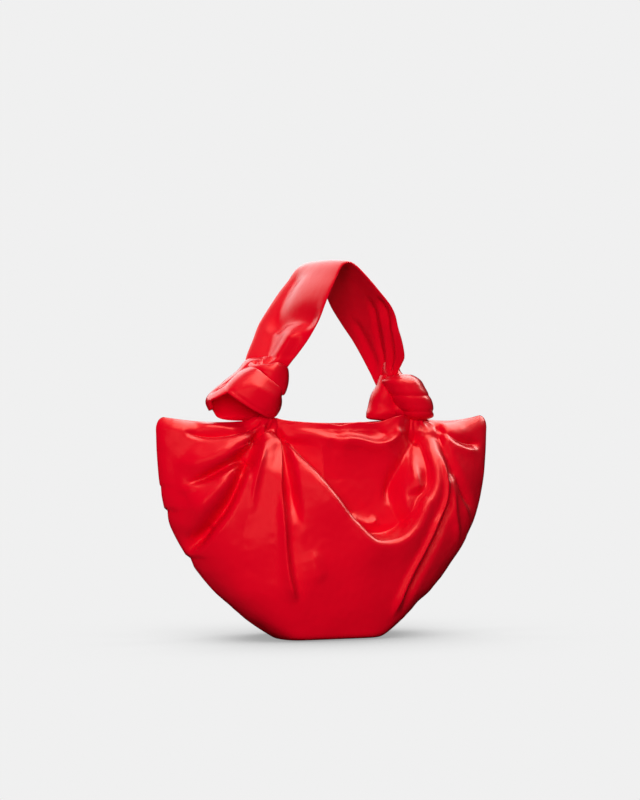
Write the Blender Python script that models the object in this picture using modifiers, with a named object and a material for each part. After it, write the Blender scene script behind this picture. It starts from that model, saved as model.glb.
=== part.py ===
"""Top handle bag in satin: a half-moon body gathered into two necks, and one broad band
that is knotted over each neck and arches up as the handle.

Units are metres, +Z is up, +X is the wearer's right as seen from the front, and the front
faces -Y. The origin is on the floor, under the middle of the flat base.
"""
import math

import bmesh
import bpy
import numpy as np

# Driving sizes of the body
WIDTH = 0.310
EAR_TOP = 0.1955
EAR_CORNER = 0.010
BASE_HALF_WIDTH = 0.047
BASE_HALF_DEPTH = 0.038
BASE_ROUND = 0.010
BELLY_HALF_DEPTH = 0.048
BELLY_HEIGHT = 0.060
TOP_HALF_DEPTH = 0.020
NECK_LEFT = -0.054
NECK_RIGHT = 0.084
NECK_HEIGHT = 0.1925
NECK_RADIUS = 0.009
MOUTH_DIP = 0.004
MOUTH_FRONT = 0.021
MOUTH_BACK = 0.016
EAR_SAG = 0.003
EAR_ROUND = 0.013

# Cloth, board and the clearance between touching pieces
CLOTH = 0.0015
LINING = 0.0010
BOARD = 0.0020
GAP = 0.0003

# Handle band and its knots
ARCH_TOP = 0.3285
BAND_WIDTH = 0.077
BAND_THICKNESS = 0.0045
BAND_CROWN = 0.0015
BAND_PLEATS = 0.0035
STRAP_THICKNESS = 0.0045
STRAP_CROWN = 0.0015
KNOT_HEIGHT = 0.2130
KNOT_HALF_HEIGHT = 0.020
KNOT_SEAT = 0.0016
TAIL_LENGTH = 0.012

# Lining and its magnetic snap
LINING_SIDE_GAP = 0.016
LINING_DEPTH_GAP = 0.019
LINING_FACING = 0.024
LINING_BELOW_MOUTH = 0.005
SNAP_RADIUS = 0.0070
SNAP_THICKNESS = 0.0025
SNAP_BELOW_RIM = 0.011
BOARD_MARGIN = 0.017

# Half of the rim seam, from the base's corner up to the ear, as shares of the half width
# and of the ear's height
RIM_SHARES = ((0.303, 0.000), (0.457, 0.079), (0.576, 0.161), (0.686, 0.240), (0.823, 0.381),
              (0.923, 0.527), (0.973, 0.675), (0.993, 0.818), (1.000, 0.946))

# How fine the cloth is divided: columns on one ear's fan and along the mouth, and rows
FRONT_GRID = (18, 16, 24)
BACK_GRID = (15, 12, 16)
ROWS_CLOSER_TO_TOP = 1.15
HEM = 0.0025

# Folds of the front: lift in mm (minus is a crease), reach in mm to the left and to the
# right of the way they run, and where they run, as shares of the rim seam from the left
# ear to the right one and of the way from the top edge down to the rim
FRONT_FOLDS = {
    "left ear tuck": (-3.6, 4.0, 5.0, ((0.09, 0.13), (0.06, 0.35), (0.04, 0.62), (0.03, 0.80))),
    "left ear roll": (2.6, 6.0, 4.5, ((0.13, 0.08), (0.08, 0.35), (0.06, 0.60), (0.04, 0.82))),
    "left ear valley": (-7.0, 7.0, 5.5, ((0.20, 0.10), (0.17, 0.36), (0.15, 0.62), (0.13, 0.86))),
    "left ear lobe": (4.0, 9.0, 9.0, ((0.15, 0.20), (0.11, 0.56), (0.09, 0.90))),
    "left hip lobe": (5.5, 10.0, 12.0, ((0.22, 0.31), (0.19, 0.60), (0.17, 0.92))),
    "left hip crease": (-8.0, 4.5, 6.5, ((0.22, 0.15), (0.22, 0.45), (0.225, 0.78), (0.22, 0.97))),
    "left neck pleat": (3.0, 4.5, 4.5, ((0.25, 0.14), (0.27, 0.34), (0.30, 0.56))),
    "long front pleat": (5.0, 4.5, 5.5, ((0.36, 0.10), (0.39, 0.37), (0.41, 0.65), (0.43, 0.81))),
    "long front crease": (-6.5, 4.5, 8.0, ((0.41, 0.08), (0.42, 0.20), (0.43, 0.40), (0.435, 0.52))),
    "swag": (8.0, 8.5, 10.0, ((0.42, 0.03), (0.431, 0.09), (0.456, 0.21), (0.485, 0.34), (0.518, 0.46),
                             (0.551, 0.53), (0.588, 0.51), (0.644, 0.45), (0.722, 0.42), (0.755, 0.38),
                             (0.78, 0.25), (0.80, 0.08))),
    "swag recess": (-11.0, 10.0, 8.5, ((0.43, 0.06), (0.465, 0.20), (0.50, 0.36), (0.545, 0.43),
                                      (0.58, 0.36))),
    "right neck hollow": (-8.0, 6.0, 9.0, ((0.70, 0.14), (0.58, 0.20), (0.555, 0.37))),
    "right neck pleat": (5.0, 4.5, 4.5, ((0.73, 0.14), (0.65, 0.26), (0.67, 0.44))),
    "right hip edge": (5.2, 7.5, 5.5, ((0.78, 0.25), (0.74, 0.48), (0.64, 0.64), (0.58, 0.92))),
    "right hip crease": (-5.6, 5.5, 8.0, ((0.80, 0.32), (0.757, 0.58), (0.65, 0.74), (0.60, 0.93))),
    "right ear valley": (-6.0, 5.5, 7.0, ((0.90, 0.16), (0.824, 0.40), (0.82, 0.70), (0.83, 0.97))),
    "right ear tuck": (-3.8, 4.0, 5.0, ((0.93, 0.13), (0.92, 0.40), (0.945, 0.85))),
    "mouth roll": (4.0, 4.5, 6.0, ((0.43, 0.03), (0.475, 0.06), (0.535, 0.10), (0.57, 0.06))),
}

# Folds of the back, written the same way
BACK_FOLDS = {
    "left ear tuck": (-3.8, 4.0, 5.0, ((0.13, 0.05), (0.095, 0.15), (0.07, 0.45), (0.05, 0.80))),
    "left ear valley": (-6.2, 6.5, 5.5, ((0.20, 0.08), (0.185, 0.25), (0.165, 0.50), (0.15, 0.88))),
    "left hip lobe": (5.2, 9.5, 9.5, ((0.24, 0.30), (0.22, 0.60), (0.21, 0.90))),
    "left hip crease": (-7.2, 5.0, 6.5, ((0.25, 0.10), (0.265, 0.25), (0.272, 0.50), (0.28, 0.94))),
    "left neck pleat": (4.2, 4.5, 5.0, ((0.36, 0.08), (0.385, 0.25), (0.392, 0.50), (0.395, 0.78))),
    "swag": (7.2, 8.5, 9.5, ((0.42, 0.05), (0.432, 0.13), (0.448, 0.24), (0.47, 0.36), (0.50, 0.44),
                             (0.53, 0.46), (0.56, 0.42), (0.585, 0.34), (0.62, 0.22), (0.68, 0.11))),
    "swag recess": (-9.8, 8.5, 8.5, ((0.435, 0.07), (0.455, 0.17), (0.485, 0.28), (0.52, 0.33),
                                     (0.55, 0.28), (0.572, 0.17), (0.59, 0.08))),
    "right neck pleat": (4.6, 4.5, 5.0, ((0.72, 0.12), (0.69, 0.25), (0.67, 0.45), (0.655, 0.76))),
    "right hip crease": (-6.6, 5.0, 6.5, ((0.80, 0.10), (0.775, 0.30), (0.765, 0.55), (0.75, 0.92))),
    "right ear valley": (-6.0, 6.0, 6.5, ((0.88, 0.12), (0.862, 0.35), (0.858, 0.60), (0.87, 0.90))),
    "right ear tuck": (-3.8, 4.0, 5.0, ((0.93, 0.12), (0.925, 0.40), (0.945, 0.82))),
}


def smooth(t):
    """Ease from 0 to 1."""
    t = np.clip(t, 0.0, 1.0)
    return t * t * (3.0 - 2.0 * t)


def curve_through(points, steps):
    """Points along a smooth curve that passes through all the given points."""
    p = np.array(points, float)
    p = np.vstack([2.0 * p[0] - p[1], p, 2.0 * p[-1] - p[-2]])
    t = np.linspace(0.0, 1.0, steps, endpoint=False)[:, None]
    runs = []
    for a, b, c, d in zip(p[:-3], p[1:-2], p[2:-1], p[3:]):
        runs.append(0.5 * (2.0 * b + (c - a) * t + (2.0 * a - 5.0 * b + 4.0 * c - d) * t ** 2
                           + (3.0 * b - a - 3.0 * c + d) * t ** 3))
    runs.append(p[-2][None])
    return np.vstack(runs)


def lengths_along(points):
    """Running length at each point of a polyline."""
    steps = np.linalg.norm(np.diff(points, axis=0), axis=1)
    return np.concatenate([[0.0], np.cumsum(steps)])


# The rim seam, where the front and the back panel are sewn together
def half_rim():
    """The right half of the rim: the side curve, and the ear's rounded corner."""
    shares = np.array(RIM_SHARES) * [WIDTH / 2.0, EAR_TOP]
    side = curve_through(shares, 10)
    x, z = side[-1]
    turn = np.linspace(0.0, math.pi / 2.0, 7)[1:]
    corner = np.stack([x - EAR_CORNER * (1.0 - np.cos(turn)), z + (EAR_TOP - z) * np.sin(turn)], 1)
    return np.vstack([side, corner])


HALF_RIM = half_rim()
RIM = np.vstack([HALF_RIM[::-1] * [-1.0, 1.0], HALF_RIM])
RIM_RUN = lengths_along(RIM) / lengths_along(RIM)[-1]
BASE_START = RIM_RUN[len(HALF_RIM) - 1]
BASE_END = RIM_RUN[len(HALF_RIM)]


def rim_point(u):
    """Place on the rim seam at a share of its length."""
    return np.interp(u, RIM_RUN, RIM[:, 0]), np.interp(u, RIM_RUN, RIM[:, 1])


def rim_half_width(z):
    return np.interp(z, HALF_RIM[:, 1], HALF_RIM[:, 0])


# The top edge: round the left neck, along the mouth, round the right neck
NECK_OPEN = math.pi / 4.0
NECK_SPREAD = 0.8


def top_edge(u, mouth):
    """Place on a panel's top edge at a share of the rim's length, with depth as plus."""
    left = np.clip(u / BASE_START, 0.0, 1.0)
    right = np.clip((1.0 - u) / (1.0 - BASE_END), 0.0, 1.0)
    across = np.clip((u - BASE_START) / (BASE_END - BASE_START), 0.0, 1.0)
    turn_left = math.pi - (math.pi - NECK_OPEN) * left ** NECK_SPREAD
    turn_right = math.pi - (math.pi - NECK_OPEN) * right ** NECK_SPREAD
    start = NECK_LEFT + NECK_RADIUS * math.cos(NECK_OPEN)
    end = NECK_RIGHT - NECK_RADIUS * math.cos(NECK_OPEN)
    side = NECK_RADIUS * math.sin(NECK_OPEN)
    bow = np.sin(math.pi * across) ** 0.8
    on_left, on_right = u < BASE_START, u > BASE_END
    x = np.where(on_left, NECK_LEFT + NECK_RADIUS * np.cos(turn_left),
                 np.where(on_right, NECK_RIGHT - NECK_RADIUS * np.cos(turn_right),
                          start + (end - start) * across))
    y = np.where(on_left, NECK_RADIUS * np.sin(turn_left),
                 np.where(on_right, NECK_RADIUS * np.sin(turn_right), side + (mouth - side) * bow))
    z = np.where(on_left | on_right, NECK_HEIGHT, NECK_HEIGHT - MOUTH_DIP * bow)
    return x, y, z


def depth_line():
    """Half depth of the filled body at its middle, as a smooth line up its height."""
    levels = ((0.0, BASE_HALF_DEPTH), (0.5 * BELLY_HEIGHT, 0.96 * BELLY_HALF_DEPTH),
              (BELLY_HEIGHT, BELLY_HALF_DEPTH), (0.55 * EAR_TOP, 0.90 * BELLY_HALF_DEPTH),
              (0.75 * EAR_TOP, 0.5 * (BELLY_HALF_DEPTH + TOP_HALF_DEPTH)), (EAR_TOP, TOP_HALF_DEPTH))
    return curve_through(levels, 12).T


DEPTH_LINE = depth_line()


def body_depth(x, z):
    """Half depth of the filled body at a place of the front view."""
    share = np.clip(np.abs(x) / np.maximum(rim_half_width(z), 1e-6), 0.0, 1.0)
    squareness = 2.3 + 5.5 * np.exp(-z / 0.022)
    return np.interp(z, *DEPTH_LINE) * (1.0 - share ** squareness) ** 0.6


def ear_line(x):
    """Height of the closed top edge of an ear."""
    inner = np.where(x < 0.0, NECK_LEFT - NECK_RADIUS, NECK_RIGHT + NECK_RADIUS)
    outer = np.where(x < 0.0, EAR_CORNER - WIDTH / 2.0, WIDTH / 2.0 - EAR_CORNER)
    t = np.clip((x - inner) / (outer - inner), 0.0, 1.0)
    return NECK_HEIGHT + (EAR_TOP - NECK_HEIGHT) * t - EAR_SAG * np.sin(math.pi * t)


def panel_surface(u, s, mouth):
    """The panel without its folds: u runs along the rim, s from the top edge to the rim."""
    tx, ty, tz = top_edge(u, mouth)
    bx, bz = rim_point(u)
    x = tx + (bx - tx) * s
    z = tz + (bz - tz) * s
    near_top = 1.0 - smooth(np.minimum(u / BASE_START, (1.0 - u) / (1.0 - BASE_END)) / 0.35)
    z = z - EAR_SAG * np.sin(math.pi * s) * near_top
    under = np.clip((ear_line(x) - z) / EAR_ROUND, 0.0, 1.0)
    in_ear = (x < NECK_LEFT) | (x > NECK_RIGHT)
    closing = np.where(in_ear, np.sqrt(np.clip(1.0 - (1.0 - under) ** 2, 0.0, 1.0)), 1.0)
    rounding = (1.0 - (1.0 - np.clip(z / BASE_ROUND, 0.0, 1.0)) ** 5) ** 0.2
    filled = smooth(s / 0.30)
    y = ty * (1.0 - filled) + body_depth(x, z) * closing * rounding * filled
    return np.stack([x, np.maximum(y, GAP / 2.0), np.maximum(z - GAP, 0.0)], -1)


def panel_shares(fan, along_mouth):
    """Shares of the rim at which a panel's columns stand, close together at the ear tops."""
    ear = BASE_START * np.linspace(0.0, 1.0, fan + 1) ** 1.2
    hem = BASE_START * 0.003
    mouth = np.linspace(BASE_START, BASE_END, along_mouth + 1)[1:-1]
    left = np.concatenate([[0.0, hem], ear[1:]])
    return np.concatenate([left, mouth, 1.0 - left[::-1]])


def panel_columns(grid, mouth):
    """Rows down each column, ending in a narrow flat hem at the rim seam."""
    fan, along_mouth, rows = grid
    columns = []
    fine = np.concatenate([np.linspace(0.0, 0.9, 120, endpoint=False),
                           1.0 - 0.1 * (1.0 - np.linspace(0.0, 1.0, 80)) ** 2.2])
    for u in panel_shares(fan, along_mouth):
        line = panel_surface(np.full(len(fine), u), fine, mouth)
        run = lengths_along(line)
        stops = np.append((run[-1] - HEM) * np.linspace(0.0, 1.0, rows - 1) ** ROWS_CLOSER_TO_TOP, run[-1])
        columns.append(np.stack([np.interp(stops, run, line[:, k]) for k in range(3)], -1))
    points = np.array(columns)
    points[:, -2, 0] = points[:, -1, 0]
    points[:, -2, 2] = points[:, -1, 2]
    for hem, edge in ((1, 0), (-2, -1)):
        points[hem, :, 0] = points[edge, :, 0]
        points[hem, :, 2] = points[edge, :, 2]
    return points


def outward(points):
    """Directions square to a panel's surface, away from the bag."""
    along = np.gradient(points, axis=0)
    down = np.gradient(points, axis=1)
    normal = np.cross(down, along)
    normal /= np.maximum(np.linalg.norm(normal, axis=-1, keepdims=True), 1e-9)
    return normal * np.sign(normal[len(points) // 2, points.shape[1] // 2, 1])


def fold_height(points, fold, mouth):
    """How far one fold lifts each point of a panel."""
    lift, reach_left, reach_right, shares = fold
    u, s = np.array(shares).T
    path = curve_through(panel_surface(u, s, mouth)[:, [0, 2]], 8)
    run = lengths_along(path) / lengths_along(path)[-1]
    flat = points[..., [0, 2]]
    nearest = np.full(flat.shape[:2], 1.0)
    along = np.zeros(flat.shape[:2])
    on_left = np.zeros(flat.shape[:2], bool)
    for i, (a, b) in enumerate(zip(path[:-1], path[1:])):
        step = b - a
        t = np.clip((flat - a) @ step / (step @ step), 0.0, 1.0)
        away = flat - a - t[..., None] * step
        distance = np.linalg.norm(away, axis=-1)
        closer = distance < nearest
        nearest = np.where(closer, distance, nearest)
        along = np.where(closer, run[i] + t * (run[i + 1] - run[i]), along)
        on_left = np.where(closer, step[0] * away[..., 1] > step[1] * away[..., 0], on_left)
    reach = np.where(on_left, reach_left, reach_right) / 1000.0
    ends = smooth(along / 0.2) * smooth((1.0 - along) / 0.2)
    return lift / 1000.0 * np.exp(-(nearest / reach) ** 1.7) * ends


def softened(height):
    """Rows of heights, each blended with the rows beside it."""
    padded = np.vstack([height[:1], height, height[-1:]])
    return 0.2 * padded[:-2] + 0.6 * height + 0.2 * padded[2:]


def folded(points, folds, mouth):
    """The panel's points with all its folds, which die out at its seams, floor and top edge."""
    height = sum(fold_height(points, fold, mouth) for fold in folds.values())
    height = softened(softened(height).T).T
    rows = np.linspace(0.0, 1.0, points.shape[1])
    height *= smooth(points[..., 1] / 0.012) * smooth(points[..., 2] / 0.020) * smooth(rows / 0.10)[None, :]
    return points + outward(points) * height[..., None]


# Making objects
def material(name, colour, roughness, metallic=0.0):
    made = bpy.data.materials.new(name)
    made.use_nodes = True
    shader = made.node_tree.nodes["Principled BSDF"]
    shader.inputs["Base Color"].default_value = (*colour, 1.0)
    shader.inputs["Roughness"].default_value = roughness
    shader.inputs["Metallic"].default_value = metallic
    made.diffuse_color = (*colour, 1.0)
    return made


def add_object(name, bm, look, group):
    """A named object from a bmesh, smooth shaded, with its own material."""
    mesh = bpy.data.meshes.new(name)
    bm.to_mesh(mesh)
    bm.free()
    mesh.shade_smooth()
    made = bpy.data.objects.new(name, mesh)
    group.objects.link(made)
    if look:
        mesh.materials.append(look)
    return made


def grid_mesh(points):
    """A grid whose vertices are moved to the given places."""
    across, down = points.shape[:2]
    bm = bmesh.new()
    bmesh.ops.create_grid(bm, x_segments=across - 1, y_segments=down - 1, size=0.5)
    for vert in bm.verts:
        i = round((vert.co.x + 0.5) * (across - 1))
        j = round((vert.co.y + 0.5) * (down - 1))
        vert.co = points[i, j]
    return bm


def thicken(made, thickness):
    """Give an open sheet its thickness, on the side away from its normals."""
    wall = made.modifiers.new("cloth thickness", "SOLIDIFY")
    wall.thickness = thickness
    wall.offset = -1.0
    wall.use_even_offset = False


def add_panel(name, grid, folds, mouth, side, look, group):
    """One body panel; side is -1 for the front and 1 for the back."""
    points = folded(panel_columns(grid, mouth), folds, mouth)
    points[..., 1] *= side
    bm = grid_mesh(points)
    if side < 0:
        bmesh.ops.reverse_faces(bm, faces=bm.faces)
    panel = add_object(name, bm, look, group)
    thicken(panel, CLOTH)
    return panel


def tube_mesh(points, ring=False):
    """A closed tube through rings of points; as a ring it also closes on itself."""
    bm = grid_mesh(points)
    bmesh.ops.remove_doubles(bm, verts=bm.verts, dist=0.00002)
    if not ring:
        open_edges = [edge for edge in bm.edges if edge.is_boundary]
        bmesh.ops.holes_fill(bm, edges=open_edges)
    bmesh.ops.recalc_face_normals(bm, faces=bm.faces)
    return bm


# The handle: one band of doubled satin
BAND_STATIONS = 24
BAND_SIDES = 16
# The band's two edges over the arch: share of the way from the left neck to the right one,
# depth as a share of the band's width, and share of the height from the knots to the top
FRONT_EDGE = ((0.12, -0.10, 0.06), (0.225, -0.27, 0.31), (0.298, -0.43, 0.607), (0.375, -0.47, 0.867),
              (0.412, -0.47, 0.965), (0.458, -0.47, 1.00), (0.51, -0.47, 0.965), (0.583, -0.47, 0.867),
              (0.745, -0.43, 0.607), (0.831, -0.34, 0.311), (0.868, -0.18, 0.088), (0.87, -0.04, -0.10))
BACK_EDGE = ((-0.115, 0.22, 0.06), (-0.036, 0.35, 0.31), (0.095, 0.49, 0.61), (0.24, 0.52, 0.865),
             (0.31, 0.52, 0.96), (0.385, 0.52, 1.00), (0.445, 0.52, 0.90), (0.54, 0.52, 0.607),
             (0.665, 0.43, 0.31), (0.71, 0.34, 0.16), (0.743, 0.23, 0.014), (0.775, 0.13, -0.135))


def even_line(placed, steps, ring=False):
    """Evenly spaced points along a smooth curve, which can close on itself."""
    if ring:
        line = curve_through((placed[-1], *placed, placed[0], placed[1]), 12)[12:-12]
    else:
        line = curve_through(placed, 12)
    run = lengths_along(line)
    stops = np.linspace(0.0, run[-1], steps)
    return np.stack([np.interp(stops, run, line[:, k]) for k in range(3)], -1)


def flat_tube(first, second, centre, lift, half_thick, sides, ring=False):
    """Rings of a soft flattened tube between two edges, lifted away from a centre."""
    middle = (first + second) / 2.0
    along = np.gradient(middle, axis=0)
    if ring:
        along[[0, -1]] = middle[1] - middle[-2]
    across = second - first
    out = np.cross(across, along)
    out /= np.linalg.norm(out, axis=1, keepdims=True)
    out *= np.sign(np.sum(out * (middle - centre)))
    turn = np.linspace(0.0, 2.0 * math.pi, sides + 1)
    share = 0.5 - 0.5 * np.cos(turn)
    height = lift(share) + np.sin(turn)[None, :] * half_thick
    points = first[:, None, :] + across[:, None, :] * share[None, :, None] + out[:, None, :] * height[..., None]
    points[:, -1] = points[:, 0]
    if ring:
        points[-1] = points[0]
    return points


def band_points():
    """Rings of the band over its arch, pleated near the knots."""
    foot = KNOT_HEIGHT + KNOT_HALF_HEIGHT
    edges = []
    for shares in (BACK_EDGE, FRONT_EDGE):
        placed = [(NECK_LEFT + (NECK_RIGHT - NECK_LEFT) * across, BAND_WIDTH * deep,
                   foot + (ARCH_TOP - foot) * up) for across, deep, up in shares]
        edges.append(even_line(placed, BAND_STATIONS))
    station = np.linspace(-1.0, 1.0, BAND_STATIONS)
    gather = smooth((np.abs(station) - 0.25) / 0.75)[:, None]

    def lift(share):
        bow = np.sin(math.pi * share)[None, :]
        pleats = BAND_PLEATS * gather * np.sin(3.0 * math.pi * share)[None, :]
        return (BAND_CROWN * (1.0 - gather) + pleats) * bow

    centre = np.array(((NECK_LEFT + NECK_RIGHT) / 2.0, 0.0, NECK_HEIGHT))
    return flat_tube(*edges, centre, lift, BAND_THICKNESS / 2.0, BAND_SIDES)


LUMP_SIDES = 16
# The soft lumps of each knot, in shares of the knot's half height: ring by ring their place
# to the right of the neck, behind it and above the knot's middle, half width and half depth
LEFT_LUMPS = (
    ((0.40, 0.30, 1.70, 0.45, 0.40), (0.12, 0.08, 1.35, 0.76, 0.74), (-0.12, 0.00, 1.00, 1.00, 0.92),
     (-0.65, 0.05, 0.60, 1.25, 0.75), (-0.95, 0.00, 0.20, 1.43, 0.75), (-1.10, 0.00, -0.25, 1.52, 0.70),
     (-1.07, 0.00, -0.65, 1.40, 0.60), (-0.85, 0.00, -0.89, 1.05, 0.45)),
)
RIGHT_LUMPS = (
    ((-1.20, 0.25, 1.30, 0.12, 0.30), (-1.02, 0.20, 0.90, 0.40, 0.55), (-0.50, 0.10, 0.15, 0.65, 0.65),
     (-0.25, 0.05, -0.45, 0.65, 0.60), (-0.10, 0.00, -0.85, 0.50, 0.50)),
    ((-0.72, -0.30, 0.94, 0.40, 0.40), (-0.75, -0.30, 0.70, 0.82, 0.80), (-0.57, -0.30, 0.35, 0.86, 0.90),
     (-0.45, -0.30, 0.03, 0.76, 0.83), (-0.30, -0.30, -0.22, 0.85, 0.93), (-0.15, -0.30, -0.50, 0.82, 0.90),
     (0.07, -0.25, -0.89, 0.62, 0.65)),
    ((-1.33, 0.20, 0.90, 0.15, 0.20), (-1.33, 0.20, 0.55, 0.33, 0.45), (-1.40, 0.20, 0.17, 0.47, 0.55),
     (-1.36, 0.20, -0.25, 0.65, 0.60), (-1.30, 0.20, -0.65, 0.78, 0.55), (-1.25, 0.15, -0.86, 0.75, 0.40)),
)


def lump_points(neck, rings, with_tail):
    """A soft lump of a knot; the one with the tail runs on down into its neck."""
    levels = [np.array(ring) * KNOT_HALF_HEIGHT + (neck, 0.0, KNOT_HEIGHT, 0.0, 0.0) for ring in rings]
    if with_tail:
        tail = NECK_RADIUS - CLOTH - GAP
        seat = NECK_HEIGHT + KNOT_SEAT
        levels.append((neck, 0.0, seat, NECK_RADIUS, NECK_RADIUS))
        levels.append((neck, 0.0, seat, tail, tail))
        levels.append((neck, 0.0, NECK_HEIGHT - TAIL_LENGTH, tail, tail))
    turn = np.linspace(0.0, 2.0 * math.pi, LUMP_SIDES + 1)
    turn[-1] = 0.0
    return np.array([np.stack([x + wide * np.cos(turn), y + deep * np.sin(turn), np.full(len(turn), z)], -1)
                     for x, y, z, wide, deep in levels])


STRAP_SIDES = 8
# The straps that lie on the left knot, in the same shares: whether each closes on itself, the
# stations along it, and its two edges
LEFT_STRAPS = (
    (True, 18,
     ((-2.12, -1.00, 0.15), (-1.54, -1.25, -0.28), (-0.84, -1.25, -0.67), (-0.23, -0.95, -0.80),
      (0.26, -0.30, -0.80), (0.33, 0.50, -0.52), (-0.44, 0.85, -0.08), (-1.44, 0.60, 0.23),
      (-2.04, -0.20, 0.32)),
     ((-0.68, -0.95, 1.15), (-0.26, -1.20, 0.75), (0.32, -1.05, 0.32), (0.48, -0.40, 0.01),
      (0.68, 0.30, 0.10), (0.46, 0.75, 0.62), (-0.16, 0.85, 1.11), (-0.67, 0.40, 1.32),
      (-0.82, -0.40, 1.28))),
    (False, 10,
     ((-0.28, -0.40, 1.23), (-0.92, -0.70, 0.97), (-1.48, -0.90, 0.62), (-2.04, -0.95, 0.23),
      (-2.50, -0.85, -0.03), (-2.75, -0.60, -0.20), (-2.57, -0.30, -0.50)),
     ((-0.08, 0.50, 1.68), (-0.72, 0.70, 1.60), (-1.08, 0.85, 1.11), (-1.76, 0.90, 0.58),
      (-2.33, 0.85, 0.10), (-2.49, 0.70, -0.25), (-2.41, 0.40, -0.60))),
    (False, 12,
     ((-0.45, -0.35, 1.35), (-0.22, -0.80, 1.38), (0.19, -0.95, 1.48), (0.67, -0.60, 1.32),
      (0.91, 0.00, 1.20), (0.82, 0.50, 1.33), (0.25, 0.50, 1.50)),
     ((-0.60, -0.40, 1.05), (-0.52, -0.85, 1.00), (-0.15, -1.10, 0.71), (0.36, -0.90, 0.45),
      (0.80, -0.20, 0.80), (0.82, 0.40, 0.80), (0.30, 0.50, 0.97))),
)
RIGHT_STRAPS = ()


def strap_points(neck, strap):
    """One strap of the band, laid over a knot."""
    ring, stations, low, high = strap
    place = np.array((neck, 0.0, KNOT_HEIGHT))
    edges = [even_line(list(np.array(edge) * KNOT_HALF_HEIGHT + place), stations, ring) for edge in (low, high)]
    middle = np.mean(edges, axis=(0, 1))

    def lift(share):
        return STRAP_CROWN * np.sin(math.pi * share)[None, :] * np.ones((stations, 1))

    return flat_tube(*edges, middle, lift, STRAP_THICKNESS / 2.0, STRAP_SIDES, ring)


def join(made, cutter):
    """Add another solid to an object by a union."""
    cutter.hide_render = True
    cutter.display_type = "WIRE"
    union = made.modifiers.new("join " + cutter.name, "BOOLEAN")
    union.operation = "UNION"
    union.solver = "EXACT"
    union.use_self = True
    union.object = cutter


def add_handle(look, group, helpers):
    """The band, its two knots and the tails that stand in the necks, as one cloth."""
    handle = add_object("handle", tube_mesh(band_points()), look, group)
    for side, neck, lumps, straps in (("left", NECK_LEFT, LEFT_LUMPS, LEFT_STRAPS),
                                      ("right", NECK_RIGHT, RIGHT_LUMPS, RIGHT_STRAPS)):
        for number, rings in enumerate(lumps, 1):
            body = tube_mesh(lump_points(neck, rings, number == 1))
            join(handle, add_object(f"{side} knot lump {number}", body, None, helpers))
        for number, strap in enumerate(straps, 1):
            body = tube_mesh(strap_points(neck, strap), ring=strap[0])
            join(handle, add_object(f"{side} knot strap {number}", body, None, helpers))
    return handle


# Inside the body
LINING_COLUMNS = 28
LINING_ROWS = 8


def lining_top():
    return NECK_HEIGHT - MOUTH_DIP - LINING_BELOW_MOUTH


def lining_floor():
    return CLOTH + GAP + BOARD + GAP


def lining_wall(m, z, mouth):
    """Place of the lining across the bag at a height: m runs from the left end to the right."""
    hang = smooth((lining_top() - LINING_FACING - z) / 0.040)
    start = NECK_LEFT + NECK_RADIUS + CLOTH
    end = NECK_RIGHT - NECK_RADIUS - CLOTH
    half = rim_half_width(z) - LINING_SIDE_GAP
    x = (start + (end - start) * m) * (1.0 - hang) + half * (2.0 * m - 1.0) * hang
    bow = np.sin(math.pi * m)
    hung = (body_depth(0.0, z) - LINING_DEPTH_GAP) * bow ** 0.9
    at_mouth = (mouth - CLOTH - 2.0 * GAP) * bow ** 0.9
    return x, at_mouth * (1.0 - hang) + hung * hang


def lining_points():
    """Rings of the lining, from the seam along its floor up to its open top."""
    turn = np.linspace(0.0, 1.0, LINING_COLUMNS + 1)
    m = 1.0 - np.abs(2.0 * turn - 1.0)
    side = np.where(turn < 0.5, -1.0, 1.0)
    mouth = np.where(side < 0.0, MOUTH_FRONT, MOUTH_BACK)
    heights = np.concatenate([[lining_floor() + 0.012],
                              np.linspace(0.05, lining_top() - LINING_FACING, LINING_ROWS - 3),
                              [lining_top()]])
    board_half_width = BASE_HALF_WIDTH - BOARD_MARGIN / 2.0
    floor_x = board_half_width * (2.0 * m - 1.0)
    floor_y = (BASE_HALF_DEPTH - BOARD_MARGIN) * np.sin(math.pi * m) ** 0.3
    level = np.full(len(turn), lining_floor())
    rings = [np.stack([floor_x, 0.0 * m, level], -1), np.stack([floor_x, side * floor_y, level], -1)]
    for z in heights:
        x, y = lining_wall(m, np.full(len(m), z), mouth)
        rings.append(np.stack([x, side * y, np.full(len(m), z)], -1))
    points = np.array(rings).transpose(1, 0, 2)
    points[-1] = points[0]
    return points


def add_lining(look, group):
    bm = grid_mesh(lining_points())
    bmesh.ops.remove_doubles(bm, verts=bm.verts, dist=0.00002)
    bmesh.ops.recalc_face_normals(bm, faces=bm.faces)
    lowest = min(bm.faces, key=lambda face: face.calc_center_median().z)
    if lowest.normal.z > 0.0:
        bmesh.ops.reverse_faces(bm, faces=bm.faces)
    lining = add_object("lining", bm, look, group)
    thicken(lining, LINING)
    return lining


def add_board(look, group):
    """The stiffening board between the body's floor and the lining."""
    bm = bmesh.new()
    bmesh.ops.create_cube(bm, size=1.0)
    size = (2.0 * BASE_HALF_WIDTH - BOARD_MARGIN, 2.0 * (BASE_HALF_DEPTH - BOARD_MARGIN), BOARD)
    bmesh.ops.scale(bm, vec=size, verts=bm.verts)
    bmesh.ops.translate(bm, vec=(0.0, 0.0, CLOTH + GAP + BOARD / 2.0), verts=bm.verts)
    upright = [edge for edge in bm.edges if abs(edge.verts[0].co.z - edge.verts[1].co.z) > BOARD / 2.0]
    bmesh.ops.bevel(bm, geom=upright, offset=0.008, segments=4, profile=0.5, affect="EDGES", material=-1)
    return add_object("base_board", bm, look, group)


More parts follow.
